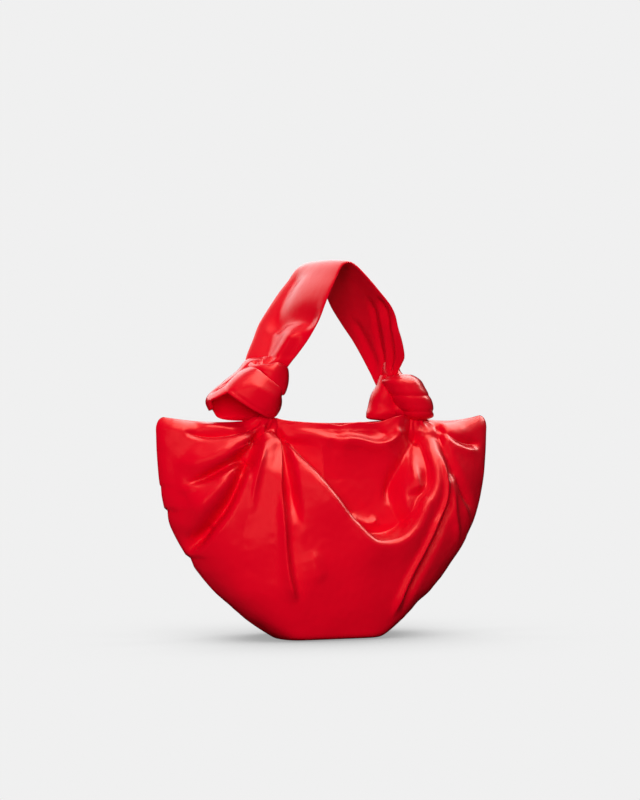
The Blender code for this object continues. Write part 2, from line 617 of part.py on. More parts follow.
def add_snap(name, mouth, side, look, group):
    """One half of the magnetic snap, a round disc that sits on the lining's inner face."""
    z = lining_top() - SNAP_BELOW_RIM
    middle, _ = lining_wall(0.5, z, mouth)
    right_end, _ = lining_wall(1.0, z, mouth)
    _, wall = lining_wall(0.5 + 0.5 * SNAP_RADIUS / (right_end - middle), z, mouth)
    bm = bmesh.new()
    bmesh.ops.create_cone(bm, cap_ends=True, segments=24, radius1=SNAP_RADIUS,
                          radius2=SNAP_RADIUS - SNAP_THICKNESS / 4.0, depth=SNAP_THICKNESS)
    snap = add_object(name, bm, look, group)
    snap.rotation_euler = (side * math.pi / 2.0, 0.0, 0.0)
    snap.location = (middle, side * (wall - LINING - GAP - SNAP_THICKNESS / 2.0), z)
    snap.data.set_sharp_from_angle(angle=math.radians(40.0))
    return snap


def build():
    for old in list(bpy.data.objects):
        bpy.data.objects.remove(old, do_unlink=True)
    bag = bpy.data.collections.new("top_handle_bag")
    helpers = bpy.data.collections.new("cutters")
    for group in (bag, helpers):
        bpy.context.scene.collection.children.link(group)
    red = (0.66, 0.0, 0.012)
    add_panel("front_panel", FRONT_GRID, FRONT_FOLDS, MOUTH_FRONT, -1.0,
              material("red satin front", red, 0.35), bag)
    add_panel("back_panel", BACK_GRID, BACK_FOLDS, MOUTH_BACK, 1.0,
              material("red satin back", red, 0.35), bag)
    add_handle(material("red satin handle", red, 0.33), bag, helpers)
    add_lining(material("red lining twill", (0.42, 0.0, 0.01), 0.7), bag)
    add_board(material("grey base board", (0.35, 0.34, 0.32), 0.8), bag)
    steel = (0.72, 0.70, 0.66)
    add_snap("snap_front", MOUTH_FRONT, -1.0, material("nickel snap front", steel, 0.25, 1.0), bag)
    add_snap("snap_back", MOUTH_BACK, 1.0, material("nickel snap back", steel, 0.25, 1.0), bag)


build()
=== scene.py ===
"""Top handle bag in red satin, dressed for a studio picture.

The CAD frame gives the sizes. Here the two body panels and the knotted handle are made again as
fine cloth, with the folds, gathers and wraps that the solids carry only coarsely, and the lining,
the board and the snap get their finish. Units are metres, +Z is up and the front faces -Y.
"""
import math

import bmesh
import bpy
import numpy as np
from bpy.props import FloatProperty, FloatVectorProperty, IntProperty, PointerProperty
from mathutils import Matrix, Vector


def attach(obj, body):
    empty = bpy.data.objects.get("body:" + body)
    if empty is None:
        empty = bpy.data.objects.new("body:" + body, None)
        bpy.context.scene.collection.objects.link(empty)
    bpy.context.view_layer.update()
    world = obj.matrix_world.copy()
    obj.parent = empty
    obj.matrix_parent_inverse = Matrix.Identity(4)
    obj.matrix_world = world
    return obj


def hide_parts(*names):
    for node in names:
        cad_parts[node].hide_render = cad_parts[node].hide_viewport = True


bl_info = {
    "name": "Top Handle Bag",
    "version": (1, 0, 0),
    "blender": (4, 5, 0),
    "location": "3D View > Sidebar > Bag",
    "description": "Builds a knotted top handle bag in satin and its studio stage",
    "category": "Object",
}

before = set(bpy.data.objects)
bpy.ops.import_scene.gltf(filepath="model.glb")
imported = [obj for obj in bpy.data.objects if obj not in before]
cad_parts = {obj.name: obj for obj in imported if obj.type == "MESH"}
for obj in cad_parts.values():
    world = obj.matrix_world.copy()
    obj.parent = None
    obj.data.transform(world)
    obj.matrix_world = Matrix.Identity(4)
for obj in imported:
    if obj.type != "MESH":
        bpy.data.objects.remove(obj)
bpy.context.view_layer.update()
MM = 0.001

# Sizes of the body and how its outline is drawn, as in the CAD source, but with a tighter corner at the
# ears and a narrower hem
WIDTH = 0.310
RIM_SHARES = ((0.303, 0.000), (0.457, 0.079), (0.576, 0.161), (0.686, 0.240), (0.823, 0.381),
              (0.923, 0.527), (0.973, 0.675), (0.993, 0.818), (1.000, 0.946))
EAR_TOP = 0.1955
EAR_CORNER = 0.007
BASE_HALF_DEPTH = 0.038
BASE_ROUND = 0.010
BELLY_HALF_DEPTH = 0.048
BELLY_HEIGHT = 0.060
TOP_HALF_DEPTH = 0.020
# How square the body is seen from above, and how much squarer it gets towards the floor
PLAN_POWER = 2.3
PLAN_FLOOR_POWER = 5.5
PLAN_FLOOR_FADE = 0.022
PLAN_ROUND = 0.6
NECK_LEFT = -0.054
NECK_RIGHT = 0.084
NECK_HEIGHT = 0.1925
NECK_RADIUS = 0.009
NECK_OPEN = math.pi / 4.0
NECK_SPREAD = 0.8
MOUTH_DIP = 0.004
MOUTH_FRONT = 0.021
MOUTH_BACK = 0.016
MOUTH_BOW = 0.8
EAR_SAG = 0.003
EAR_ROUND = 0.013
CLOTH = 0.0015
# The lining's place, which the panels keep clear of
LINING_TOP = 0.1835
LINING_FACING = 0.024
LINING_SIDE_GAP = 0.016
LINING_DEPTH_GAP = 0.019
LINING_HANG = 0.040
LINING_BOW = 0.9
LINING_FLOOR = 0.020
LINING_EASE = 0.0015
GAP = 0.0003
HEM = 0.0010
# How deep the satin is turned in round the necks, and where the mouth's deeper facing starts and ends,
# measured from the middle between the necks
NECK_FACING = 0.005
FACING_START, FACING_FADE = 0.060, 0.010
# Share of the way down at which a panel has its full depth, and of an ear's fan over which its top sags
FILL_REACH, SAG_REACH = 0.30, 0.35
QUICK_SHARE, BACK_SHARE, MOUTH_SHARE = 0.35, 0.75, 0.85
# How the columns of a fan crowd towards the rim's end, and the first one's place
FAN_CROWDING, FAN_FIRST = 1.2, 0.003
# Rows of the facing and of the fold that turns it in
FACING_ROWS, TURN_ROWS = 8, 7
# How far each panel's rim passes the seam line, so that no light shows between the two
SEAM_LAP = 0.0005

# Folds of the front panel: lift in mm (minus is a crease), reach in mm to the left and to the
# right of the way they run, sharpness, share over which each end dies out, and where they run,
# as shares of the rim seam from the left ear to the right one and from the top edge to the rim
FRONT_FOLDS = (
    (-4.6, 2.2, 5.5, 1.5, .1, .2,
     ((.155, .03), (.092, .13), (.063, .28), (.053, .42), (.044, .56), (.034, .69), (.029, .78))),
    (1.8, 3.0, 3.0, 1.8, .2, .2,
     ((.100, .06), (.050, .18), (.030, .34), (.018, .50), (.012, .66))),
    (-10.5, 6.0, 3.2, 1.6, .12, .30,
     ((.207, .07), (.203, .16), (.185, .26), (.170, .36), (.153, .50), (.142, .64), (.132, .77),
      (.126, .86))),
    (3.5, 9.0, 9.0, 2.0, .2, .3,
     ((.170, .10), (.127, .34), (.109, .56), (.096, .77), (.089, .91))),
    (2.5, 3.5, 6.0, 1.7, .2, .3,
     ((.199, .33), (.170, .50), (.150, .66), (.139, .80), (.129, .92))),
    (4.5, 10.0, 12.0, 2.0, .2, .3,
     ((.229, .31), (.202, .49), (.186, .67), (.180, .81), (.167, .92))),
    (-13.0, 3.0, 7.0, 1.5, .2, .1,
     ((.226, .15), (.217, .34), (.225, .51), (.226, .65), (.222, .78), (.220, .88), (.219, .96),
      (.217, 1.0))),
    (-3.0, 3.0, 5.5, 1.6, .3, .1,
     ((.222, .78), (.220, .88), (.219, .96), (.217, 1.0))),
    (2.2, 3.0, 3.0, 1.6, .1, .4,
     ((.203, .03), (.243, .14), (.260, .23), (.272, .34), (.285, .46), (.299, .55))),
    (-2.2, 2.5, 2.5, 1.6, .1, .4,
     ((.196, .07), (.223, .19), (.237, .30), (.253, .41))),
    (-1.2, 9.0, 9.0, 2.0, .3, .3,
     ((.279, .49), (.298, .64), (.315, .77), (.336, .90))),
    (4.6, 3.0, 5.0, 1.35, .1, .10,
     ((.326, .06), (.396, .15), (.385, .26), (.392, .37), (.398, .48), (.406, .60), (.413, .70),
      (.423, .78), (.432, .81))),
    (-1.5, 5.0, 5.0, 1.8, .3, .3,
     ((.418, .44), (.421, .60), (.428, .74), (.438, .83))),
    (-8.5, 3.2, 12.0, 1.9, .08, .45,
     ((.230, .01), (.419, .07), (.422, .13), (.423, .20), (.425, .29), (.429, .40), (.435, .51))),
    (-6.0, 9.0, 4.5, 1.6, .12, .25,
     ((.668, .06), (.648, .10), (.590, .134), (.577, .161), (.565, .234), (.560, .299), (.557, .394))),
    (4.0, 7.0, 7.0, 2.0, .15, .15,
     ((.635, .09), (.624, .124), (.592, .169), (.600, .256), (.626, .370))),
    (1.8, 4.0, 4.5, 1.7, .2, .2,
     ((.505, .425), (.520, .452), (.534, .466), (.548, .448))),
    (2.0, 10.0, 10.0, 2.0, .2, .2,
     ((.481, .08), (.519, .11), (.561, .11))),
    (4.5, 6.0, 2.6, 1.5, .15, .15,
     ((.788, .25), (.757, .39), (.738, .49), (.708, .54), (.675, .58), (.641, .64), (.611, .70),
      (.592, .77), (.581, .84), (.579, .92))),
    (-4.5, 3.5, 8.0, 1.7, .15, .2,
     ((.805, .32), (.781, .47), (.757, .58), (.722, .64), (.687, .69), (.652, .74), (.627, .79),
      (.607, .86), (.598, .93))),
    (-4.5, 4.5, 6.5, 1.7, .1, .3,
     ((.903, .16), (.847, .26), (.824, .40), (.817, .58), (.823, .77), (.834, .99))),
    (2.2, 4.0, 4.0, 1.7, .2, .3,
     ((.783, .40), (.773, .56), (.763, .71), (.758, .92))),
    (1.6, 4.0, 4.0, 1.7, .2, .3,
     ((.814, .47), (.805, .68), (.807, .92))),
    (-3.2, 3.0, 4.0, 1.6, .1, .2,
     ((.936, .13), (.916, .27), (.920, .45), (.936, .68), (.947, .89))),
    (2.0, 3.0, 6.0, 1.7, .2, .3,
     ((.923, .18), (.910, .39), (.917, .62), (.936, .89))),
    (3.2, 4.0, 6.0, 1.7, .15, .15,
     ((.422, .02), (.438, .03), (.455, .04), (.475, .06), (.496, .06), (.516, .08), (.535, .10),
      (.552, .10), (.565, .07), (.579, .04))),
    (-1.8, 2.0, 2.5, 1.6, .2, .3,
     ((.481, .0), (.486, .03), (.485, .05))),
    (-2.2, 2.0, 2.5, 1.6, .2, .3,
     ((.528, .01), (.541, .04), (.552, .08))),
    (2.2, 3.0, 3.0, 1.6, .2, .3,
     ((.565, .0), (.561, .03), (.558, .08))),
    (1.6, 7.0, 7.0, 2.0, .3, .3,
     ((.443, .57), (.452, .64), (.462, .74))),
)

# The swag of the front panel: the line of its upper edge from the left neck to the right one, then in
# mm how far it stands forward, how far below that dies out, the round of its edge, and how wide the
# fall behind it is
SWAG = ((.300, .01), (.410, .045), (.420, .079), (.432, .128), (.444, .181), (.456, .230), (.469, .286),
        (.482, .341), (.496, .404), (.511, .461), (.523, .500), (.535, .528), (.548, .533), (.562, .528),
        (.576, .502), (.595, .468), (.610, .435), (.630, .402), (.657, .396), (.684, .366), (.699, .306),
        (.709, .217), (.700, .110), (.690, .03))
SWAG_LIFT, SWAG_REACH, SWAG_ROUND, SWAG_FALL = 11.0, 26.0, 8.0, 3.0
# Shares of the line over which the swag grows out of the left neck and dies out at the right one
SWAG_STARTS, SWAG_ENDS = 0.06, 0.20
# The hollow behind it: height and depth of its floor, how the floor falls back towards the left neck,
# the width in mm of its edge, and its bounds at the top and at the right with their softness in mm
HOLLOW_FLOOR = ((0.100, 0.0283), (0.120, 0.0250), (0.140, 0.0222), (0.175, 0.0212))
HOLLOW_CORNER, HOLLOW_TURN = 0.006, 0.45
HOLLOW_EDGE = 4.0
HOLLOW_BOUNDS = (
    (7.0, ((.572, .129), (.543, .111), (.502, .086), (.462, .070), (.430, .064), (.411, .059))),
    (15.0, ((.640, .490), (.622, .480), (.588, .399), (.577, .319), (.577, .240), (.582, .164),
            (.590, .115))),
)

# Height, depth and length below, in mm, of the small steps in the left rim where folds run out, how
# sharp they are, and the share of the way down at which they start and over which they grow
RIM_STEPS = ((116.5, 3.0, 16.0), (75.0, 3.4, 14.0), (137.0, 1.2, 12.0))
RIM_STEP_EDGE, RIM_STEP_START, RIM_STEP_GROW = 1.6, 0.80, 0.18

# Where the front's top edge is pulled up and forward against the knots, in mm: place to the right of
# the middle, reach to each side, lift and pull forward; and the share of the way down that it reaches
SHOULDERS = ((-131.0, 15.0, 3.6, 0.0), (-84.0, 8.0, -2.0, 0.0), (112.0, 10.0, 1.0, 0.0),
             (-69.0, 9.0, 4.0, 5.0), (-55.0, 9.0, 2.0, 2.0), (63.0, 13.0, 4.5, 8.0),
             (25.0, 9.0, 1.2, 0.0), (6.0, 6.0, -1.6, 0.0))
SHOULDER_DEPTH = 0.11

# How the satin wrinkles by itself: lift in mm, number of waves, shortest and longest wave in metres
SLACK_WAVES = (0.9, 9, 0.030, 0.075)
CREPE_WAVES = (0.10, 14, 0.007, 0.016)
SEAM_WAVES = (0.55, 6, 0.007, 0.018)
GATHER_WAVES = (0.6, 6, 0.026, 0.045)
KNOT_WAVES = (0.5, 7, 0.012, 0.030)
# Share of the way down at which the seam's waves start, and over which they grow
SEAM_START, SEAM_GROW = 0.86, 0.10
# Folds die out this near the seam and the floor, in metres, and this near the top edge, as a share
FADE_AT_SEAM, FADE_AT_FLOOR, FADE_AT_TOP = 0.012, 0.014, 0.07
# Shares of the way down at which the gathers at the top edge end and start, and their fade at the seam
GATHER_END, GATHER_START, GATHER_FADE = 0.10, 0.015, 0.006

# Folds of the back panel, written the same way
BACK_FOLDS = (
    (-3.2, 3.0, 4.0, 1.6, .1, .3,
     ((.13, .05), (.095, .15), (.07, .45), (.05, .80))),
    (2.0, 4.0, 3.0, 1.6, .1, .3,
     ((.15, .10), (.11, .30), (.09, .60))),
    (-5.0, 6.0, 4.0, 1.7, .12, .3,
     ((.20, .08), (.185, .25), (.165, .50), (.15, .88))),
    (4.0, 9.0, 9.0, 2.0, .2, .3,
     ((.24, .30), (.22, .60), (.21, .90))),
    (-5.5, 3.5, 6.0, 1.6, .15, .2,
     ((.25, .10), (.265, .25), (.272, .50), (.28, .94))),
    (2.4, 3.0, 3.5, 1.6, .1, .3,
     ((.29, .06), (.33, .14), (.35, .30), (.355, .45))),
    (3.2, 3.5, 4.5, 1.4, .1, .2,
     ((.36, .08), (.385, .25), (.392, .50), (.395, .78))),
    (5.0, 7.5, 9.0, 1.6, .06, .1,
     ((.42, .05), (.432, .13), (.448, .24), (.47, .36), (.50, .44), (.53, .46), (.56, .42), (.585, .34),
      (.62, .22), (.68, .11), (.74, .06))),
    (-7.0, 8.0, 8.0, 1.8, .1, .1,
     ((.435, .07), (.455, .17), (.485, .28), (.52, .33), (.55, .28), (.572, .17), (.59, .08))),
    (-3.0, 3.0, 3.5, 1.6, .1, .3,
     ((.70, .10), (.655, .20), (.635, .34), (.63, .50))),
    (3.5, 3.5, 4.5, 1.4, .1, .2,
     ((.72, .12), (.69, .25), (.67, .45), (.655, .76))),
    (-5.0, 4.0, 6.0, 1.6, .12, .3,
     ((.80, .10), (.775, .30), (.765, .55), (.75, .92))),
    (2.2, 4.0, 4.0, 1.7, .2, .3,
     ((.82, .35), (.805, .60), (.80, .90))),
    (-4.5, 5.0, 6.0, 1.7, .1, .3,
     ((.88, .12), (.862, .35), (.858, .60), (.87, .90))),
    (-3.0, 3.0, 4.0, 1.6, .1, .3,
     ((.93, .12), (.925, .40), (.945, .82))),
    (3.0, 4.0, 6.0, 1.7, .15, .15,
     ((.425, .02), (.46, .05), (.50, .07), (.54, .07), (.575, .03))),
)

# The handle's arch: heights of its foot and top, and the band's width, crown, middle and grid
ARCH_FOOT = 0.2330
ARCH_TOP = 0.3300
BAND_WIDTH = 0.077
BAND_CROWN = 0.0012
BAND_CENTRE = (0.01, 0.0, 0.20)
# Stations along the band and points round it
BAND_GRID = (300, 96)
# How full the cloth's section is up to its edges, from 1 for round to 0 for square
STRIP_EDGE = 0.6
# The band's two edges over the arch: share of the way from the left neck to the right one, depth as
# a share of the band's width, and share of the height from the arch's foot to its top
FRONT_EDGE = ((0.12, -0.10, 0.06), (0.16, -0.18, 0.16), (0.225, -0.27, 0.31), (0.268, -0.36, 0.46),
              (0.298, -0.43, 0.607), (0.338, -0.47, 0.756), (0.375, -0.47, 0.867), (0.412, -0.47, 0.965),
              (0.458, -0.47, 1.00), (0.51, -0.47, 0.965), (0.583, -0.47, 0.867), (0.657, -0.46, 0.756),
              (0.752, -0.43, 0.607), (0.806, -0.39, 0.459), (0.850, -0.34, 0.311), (0.884, -0.26, 0.162),
              (0.884, -0.18, 0.088), (0.876, -0.10, 0.014), (0.87, -0.04, -0.10))
BACK_EDGE = ((-0.115, 0.22, 0.06), (-0.092, 0.27, 0.16), (-0.036, 0.35, 0.31), (0.019, 0.43, 0.46),
             (0.095, 0.49, 0.61), (0.173, 0.51, 0.765), (0.24, 0.52, 0.88), (0.31, 0.52, 0.985),
             (0.385, 0.52, 1.02), (0.445, 0.52, 0.92), (0.505, 0.52, 0.71), (0.54, 0.52, 0.607),
             (0.60, 0.48, 0.46), (0.665, 0.43, 0.31), (0.71, 0.34, 0.16), (0.743, 0.23, 0.014),
             (0.76, 0.18, -0.061), (0.775, 0.13, -0.135))
# Folds of the handle, written as those of the panels: shares along it from the left knot, and
# across it from the back edge
HANDLE_FOLDS = (
    (-5.0, 9.0, 15.0, 1.5, .15, .05,
     ((.43, .12), (.34, .16), (.22, .21), (.13, .30), (.05, .46), (.0, .56))),
    (-6.0, 6.5, 15.0, 1.8, .2, .22,
     ((.13, .27), (.185, .42), (.20, .66), (.19, .88), (.175, 1.03))),
    (7.0, 13.0, 6.0, 2.0, .3, .05,
     ((.165, .80), (.10, .77), (.04, .74), (-.02, .70))),
    (3.4, 2.5, 3.0, 1.6, .25, .1,
     ((.62, .76), (.72, .66), (.85, .50), (.97, .46))),
    (-2.6, 3.0, 3.0, 1.6, .25, .1,
     ((.66, .84), (.78, .74), (.90, .62), (.99, .56))),
    (3.8, 2.5, 3.5, 1.6, .2, .1,
     ((.62, .92), (.74, .86), (.90, .755), (.98, .70))),
    (-4.0, 5.0, 6.0, 1.8, .25, .15,
     ((.72, .97), (.84, .92), (.93, .86), (.99, .80))),
    (2.2, 5.0, 5.0, 2.0, .3, .2,
     ((.70, .28), (.84, .24), (.97, .22))),
)

# The soft lumps of each knot: place to the right of the neck, behind it and above the floor,
# then half width and half depth, in mm
LEFT_LUMPS = (
    ((8, 6, 248, 10, 9), (2, 4, 240, 14, 11), (-4.5, 2, 234, 18, 13), (-11, 2, 227, 23, 15),
     (-18, 1, 220, 27.5, 15), (-20, 7, 213, 29, 8), (-19.5, 12, 206, 30, 5), (-17, 15, 199, 28, 4),
     (-15.5, 15, 194, 25, 4), (-12, 10, 191.8, 20, 5), (-4, 0, 191, 10, 7), (0, 0, 190, 7.2, 7.2),
     (0, 0, 181, 7.0, 7.0)),
)
RIGHT_LUMPS = (
    ((-20, 6, 244, 6, 8), (-20, 5, 236, 8, 10), (-17, 3, 229, 10, 12), (-10, 2, 216, 13, 13),
     (-9, 1, 206, 16, 12), (-8, 0, 199, 17, 11), (-5, 0, 193.5, 13, 9), (0, 0, 190, 7.2, 7.2),
     (0, 0, 181, 7.0, 7.0)),
    ((-13, -6, 232.5, 4, 4), (-13.5, -6, 231.4, 10, 10), (-14, -6, 227, 17.5, 16),
     (-10.4, -6, 220, 18.4, 18), (-6.6, -6, 213, 18.4, 18.5), (-2.9, -6, 206, 17.5, 18),
     (0, -6, 199, 16, 16), (2.2, -5, 194.2, 14.0, 13), (2, -4, 191.6, 9, 8)),
    ((-26.7, 4, 232, 3, 5), (-26.7, 4, 224, 6.5, 9), (-28, 4, 216.5, 9.5, 11), (-27.4, 4, 209.5, 12.5, 12),
     (-26.7, 4, 202.5, 15, 12), (-27, 3, 197, 17, 11), (-27, 3, 192.5, 16, 9), (-20, 2, 190.6, 10, 6)),
)
# The straps that lie on the left knot's lump: their two edges in the same terms, their crown in mm,
# whether they close on themselves, and their folds
LEFT_STRAPS = (
    (((-42.4, -20, 216.0), (-30.9, -25, 207.3), (-16.8, -25, 199.1), (-4.5, -19, 194.6), (5.2, -6, 195.6),
      (6.6, 10, 201.6), (-8.8, 17, 211.3), (-28.7, 12, 217.5), (-40.8, -4, 219.4)),
     ((-13.6, -19, 235.9), (-5.2, -24, 228.1), (6.3, -21, 219.4), (9.6, -8, 213.2), (13.7, 6, 214.9),
      (9.2, 15, 225.4), (-3.2, 17, 235.2), (-13.4, 8, 239.5), (-16.5, -8, 238.6)), 1.5, True,
     ((-0.9, 0.7, 0.7, 2.0, .05, .05, ((.0, .10), (.15, .09), (.32, .12))),
      (1.2, 5.0, 5.0, 2.0, .3, .3, ((.02, .55), (.16, .62), (.26, .66))),)),
    (((-5.6, -8, 237.7), (-18.4, -14, 232.4), (-29.6, -18, 225.5), (-40.8, -19, 217.7), (-50.1, -17, 212.5),
      (-54.9, -12, 209.0), (-51.4, -6, 202.9)),
     ((-1.7, 10, 246.6), (-14.3, 14, 244.9), (-21.7, 17, 235.2), (-35.2, 18, 224.6), (-46.5, 17, 214.9),
      (-49.7, 14, 207.9), (-48.2, 8, 201.0)), 2.0, False,
     ((-2.4, 1.6, 2.6, 1.6, .1, .2, ((.05, .42), (.40, .40), (.85, .46))),)),
    (((-4.4, -16, 240.7), (3.8, -19, 242.5), (13.4, -12, 239.5), (18.2, 0, 236.9), (17.2, 11, 239.6),
      (5.4, 15, 244.1), (-8.2, 10, 244.9), (-14.0, 0, 243.0), (-12.6, -10, 240.3)),
     ((-10.9, -19, 234.2), (-3.0, -22, 224.0), (8.0, -17, 214.0), (14.5, -4, 217.0), (15.0, 8, 219.0),
      (6.0, 15, 226.0), (-6.3, 13, 236.1), (-16.5, 1, 236.0), (-16.9, -12, 235.1)), 1.0, True, ()),
)
# Stations along a strap and points round it
STRAP_GRID = (160, 56)
# Middle of a knot, from its neck at the floor
KNOT_CENTRE = (-0.012, 0.0, 0.214)
# Height and depth, in mm, of the creases that pinch the right knot's front wrap, and half their width
# in metres
KNOT_CREASES = ((213.4, 0.8), (199.0, 1.1))
CREASE_REACH = 0.0018

# Studio lamps: place, width and length, power in watts, and whether gloss and matt surfaces see them
LAMPS = {
    "overhead softbox": ((-0.20, -0.15, 1.40), (1.6, 0.9), 8.0, False, True),
    "overhead sheen": ((0.50, -0.20, 1.40), (2.7, 1.1), 70.0, True, False),
    "back softbox": ((-0.50, 1.90, 1.45), (3.8, 1.7), 48.0, True, True),
    "front fill": ((-0.9, -2.1, 0.65), (1.6, 1.0), 50.0, False, True),
    "right sheen": ((2.1, 0.0, 1.65), (0.9, 0.9), 30.0, True, False),
}
LAMP_AIM = (0.0, 0.0, 0.15)
CAMERA_AIM = (-0.005, 0.0, 0.2095)
FLOOR_HALF = 3.0


def linear(hex_colour):
    """Linear colour of an sRGB hex value."""
    channels = [int(hex_colour[i:i + 2], 16) / 255.0 for i in (0, 2, 4)]
    return tuple(c / 12.92 if c <= 0.04045 else ((c + 0.055) / 1.055) ** 2.4 for c in channels)


# What a user would change
class BagSizes(bpy.types.PropertyGroup):
    """Sizes of the cloth and its folds"""
    fold_depth: FloatProperty(name="Fold depth", description="How deep the folds are, as a share of the list",
                              default=1.3, min=0.0, max=1.5, subtype="FACTOR")
    band_thickness: FloatProperty(name="Band thickness", description="Thickness of the handle's satin",
                                  default=0.0042, min=0.002, max=0.008, unit="LENGTH")
    strap_thickness: FloatProperty(name="Strap thickness", description="Thickness of the cloth in the knots",
                                   default=0.0034, min=0.002, max=0.006, unit="LENGTH")
    facing: FloatProperty(name="Facing", description="How far the satin is turned in at the mouth",
                          default=0.014, min=0.006, max=0.03, unit="LENGTH")
    fan_columns: IntProperty(name="Fan columns", description="Columns of cloth in one ear's fan",
                             default=130, min=20, max=160)
    rows: IntProperty(name="Rows", description="Rows of cloth from the top edge to the rim",
                      default=215, min=20, max=240)


class BagLook(bpy.types.PropertyGroup):
    """Colours and sheen of the finishes"""
    satin: FloatVectorProperty(name="Satin", description="Colour of the satin", subtype="COLOR",
                               default=linear("E0001E"), min=0.0, max=1.0)
    sheen: FloatVectorProperty(name="Sheen", description="Colour of the light on the satin", subtype="COLOR",
                               default=linear("FFA289"), min=0.0, max=1.0)
    lining: FloatVectorProperty(name="Lining", description="Colour of the lining twill", subtype="COLOR",
                                default=linear("9C1420"), min=0.0, max=1.0)
    board: FloatVectorProperty(name="Board", description="Colour of the stiffening board", subtype="COLOR",
                               default=linear("8E8B85"), min=0.0, max=1.0)
    nickel: FloatVectorProperty(name="Nickel", description="Colour of the snap's plating", subtype="COLOR",
                                default=linear("D9D5CE"), min=0.0, max=1.0)
    satin_roughness: FloatProperty(name="Satin roughness", description="How wide the satin's sheen spreads",
                                   default=0.30, min=0.1, max=0.8, subtype="FACTOR")


class BagStage(bpy.types.PropertyGroup):
    """Backdrop and camera"""
    backdrop: FloatVectorProperty(name="Backdrop", description="Colour behind and under the bag",
                                  subtype="COLOR", default=linear("F0F0F0"), min=0.0, max=1.0)
    azimuth: FloatProperty(name="Azimuth", description="Turn of the camera round the bag",
                           default=math.radians(-19.0), subtype="ANGLE")
    elevation: FloatProperty(name="Elevation", description="Height of the camera above the horizon",
                             default=math.radians(0.5), subtype="ANGLE")
    distance: FloatProperty(name="Distance", description="From the camera to the bag's middle",
                            default=1.969, min=0.5, max=10.0, unit="LENGTH")
    lens: FloatProperty(name="Lens", description="Focal length in mm", default=100.0, min=20.0, max=300.0)


# Curves
def smooth(t):
    """Ease from 0 to 1."""
    t = np.clip(t, 0.0, 1.0)
    return t * t * (3.0 - 2.0 * t)


def curve_through(points, steps, closed=False):
    """Points along a smooth curve that passes through all the given points."""
    p = np.array(points, float)
    if closed:
        p = np.vstack([p[-1:], p, p[:2]])
    else:
        p = np.vstack([2.0 * p[0] - p[1], p, 2.0 * p[-1] - p[-2]])
    t = np.linspace(0.0, 1.0, steps, endpoint=False)[:, None]
    runs = []
    for a, b, c, d in zip(p[:-3], p[1:-2], p[2:-1], p[3:]):
        runs.append(0.5 * (2.0 * b + (c - a) * t + (2.0 * a - 5.0 * b + 4.0 * c - d) * t ** 2
                           + (3.0 * b - a - 3.0 * c + d) * t ** 3))
    runs.append(p[-2][None])
    return np.vstack(runs)


def lengths_along(points):
    """Running length at each point of a polyline."""
    steps = np.linalg.norm(np.diff(points, axis=0), axis=1)
    return np.concatenate([[0.0], np.cumsum(steps)])


def resample(points, stops):
    """Points of a polyline at the given shares of its length."""
    run = lengths_along(points)
    at = np.asarray(stops) * run[-1]
    return np.stack([np.interp(at, run, points[:, k]) for k in range(points.shape[1])], -1)


# The body's form, as in the CAD source
def half_rim():
    """The right half of the rim: the side curve, and the ear's rounded corner."""
    side = curve_through(np.array(RIM_SHARES) * [WIDTH / 2.0, EAR_TOP], 10)
    x, z = side[-1]
    turn = np.linspace(0.0, math.pi / 2.0, 7)[1:]
    corner = np.stack([x - EAR_CORNER * (1.0 - np.cos(turn)), z + (EAR_TOP - z) * np.sin(turn)], 1)
    return np.vstack([side, corner])


HALF_RIM = half_rim()
RIM = np.vstack([HALF_RIM[::-1] * [-1.0, 1.0], HALF_RIM])
RIM_RUN = lengths_along(RIM) / lengths_along(RIM)[-1]
BASE_START = RIM_RUN[len(HALF_RIM) - 1]
BASE_END = RIM_RUN[len(HALF_RIM)]


def top_edge(u, mouth):
    """Place on a panel's top edge at a share of the rim's length, with depth as plus."""
    left = np.clip(u / BASE_START, 0.0, 1.0)
    right = np.clip((1.0 - u) / (1.0 - BASE_END), 0.0, 1.0)
    across = np.clip((u - BASE_START) / (BASE_END - BASE_START), 0.0, 1.0)
    turn_left = math.pi - (math.pi - NECK_OPEN) * left ** NECK_SPREAD
    turn_right = math.pi - (math.pi - NECK_OPEN) * right ** NECK_SPREAD
    start = NECK_LEFT + NECK_RADIUS * math.cos(NECK_OPEN)
    end = NECK_RIGHT - NECK_RADIUS * math.cos(NECK_OPEN)
    side = NECK_RADIUS * math.sin(NECK_OPEN)
    bow = np.sin(math.pi * across) ** MOUTH_BOW
    on_left, on_right = u < BASE_START, u > BASE_END
    x = np.where(on_left, NECK_LEFT + NECK_RADIUS * np.cos(turn_left),
                 np.where(on_right, NECK_RIGHT - NECK_RADIUS * np.cos(turn_right),
                          start + (end - start) * across))
    y = np.where(on_left, NECK_RADIUS * np.sin(turn_left),
                 np.where(on_right, NECK_RADIUS * np.sin(turn_right), side + (mouth - side) * bow))
    z = np.where(on_left | on_right, NECK_HEIGHT, NECK_HEIGHT - MOUTH_DIP * bow)
    return x, y, z


def depth_line():
    """Half depth of the filled body at its middle, as a smooth line up its height."""
    levels = ((0.0, BASE_HALF_DEPTH), (0.5 * BELLY_HEIGHT, 0.96 * BELLY_HALF_DEPTH),
              (BELLY_HEIGHT, BELLY_HALF_DEPTH), (0.55 * EAR_TOP, 0.90 * BELLY_HALF_DEPTH),
              (0.75 * EAR_TOP, 0.5 * (BELLY_HALF_DEPTH + TOP_HALF_DEPTH)), (EAR_TOP, TOP_HALF_DEPTH))
    return curve_through(levels, 12).T


DEPTH_LINE = depth_line()


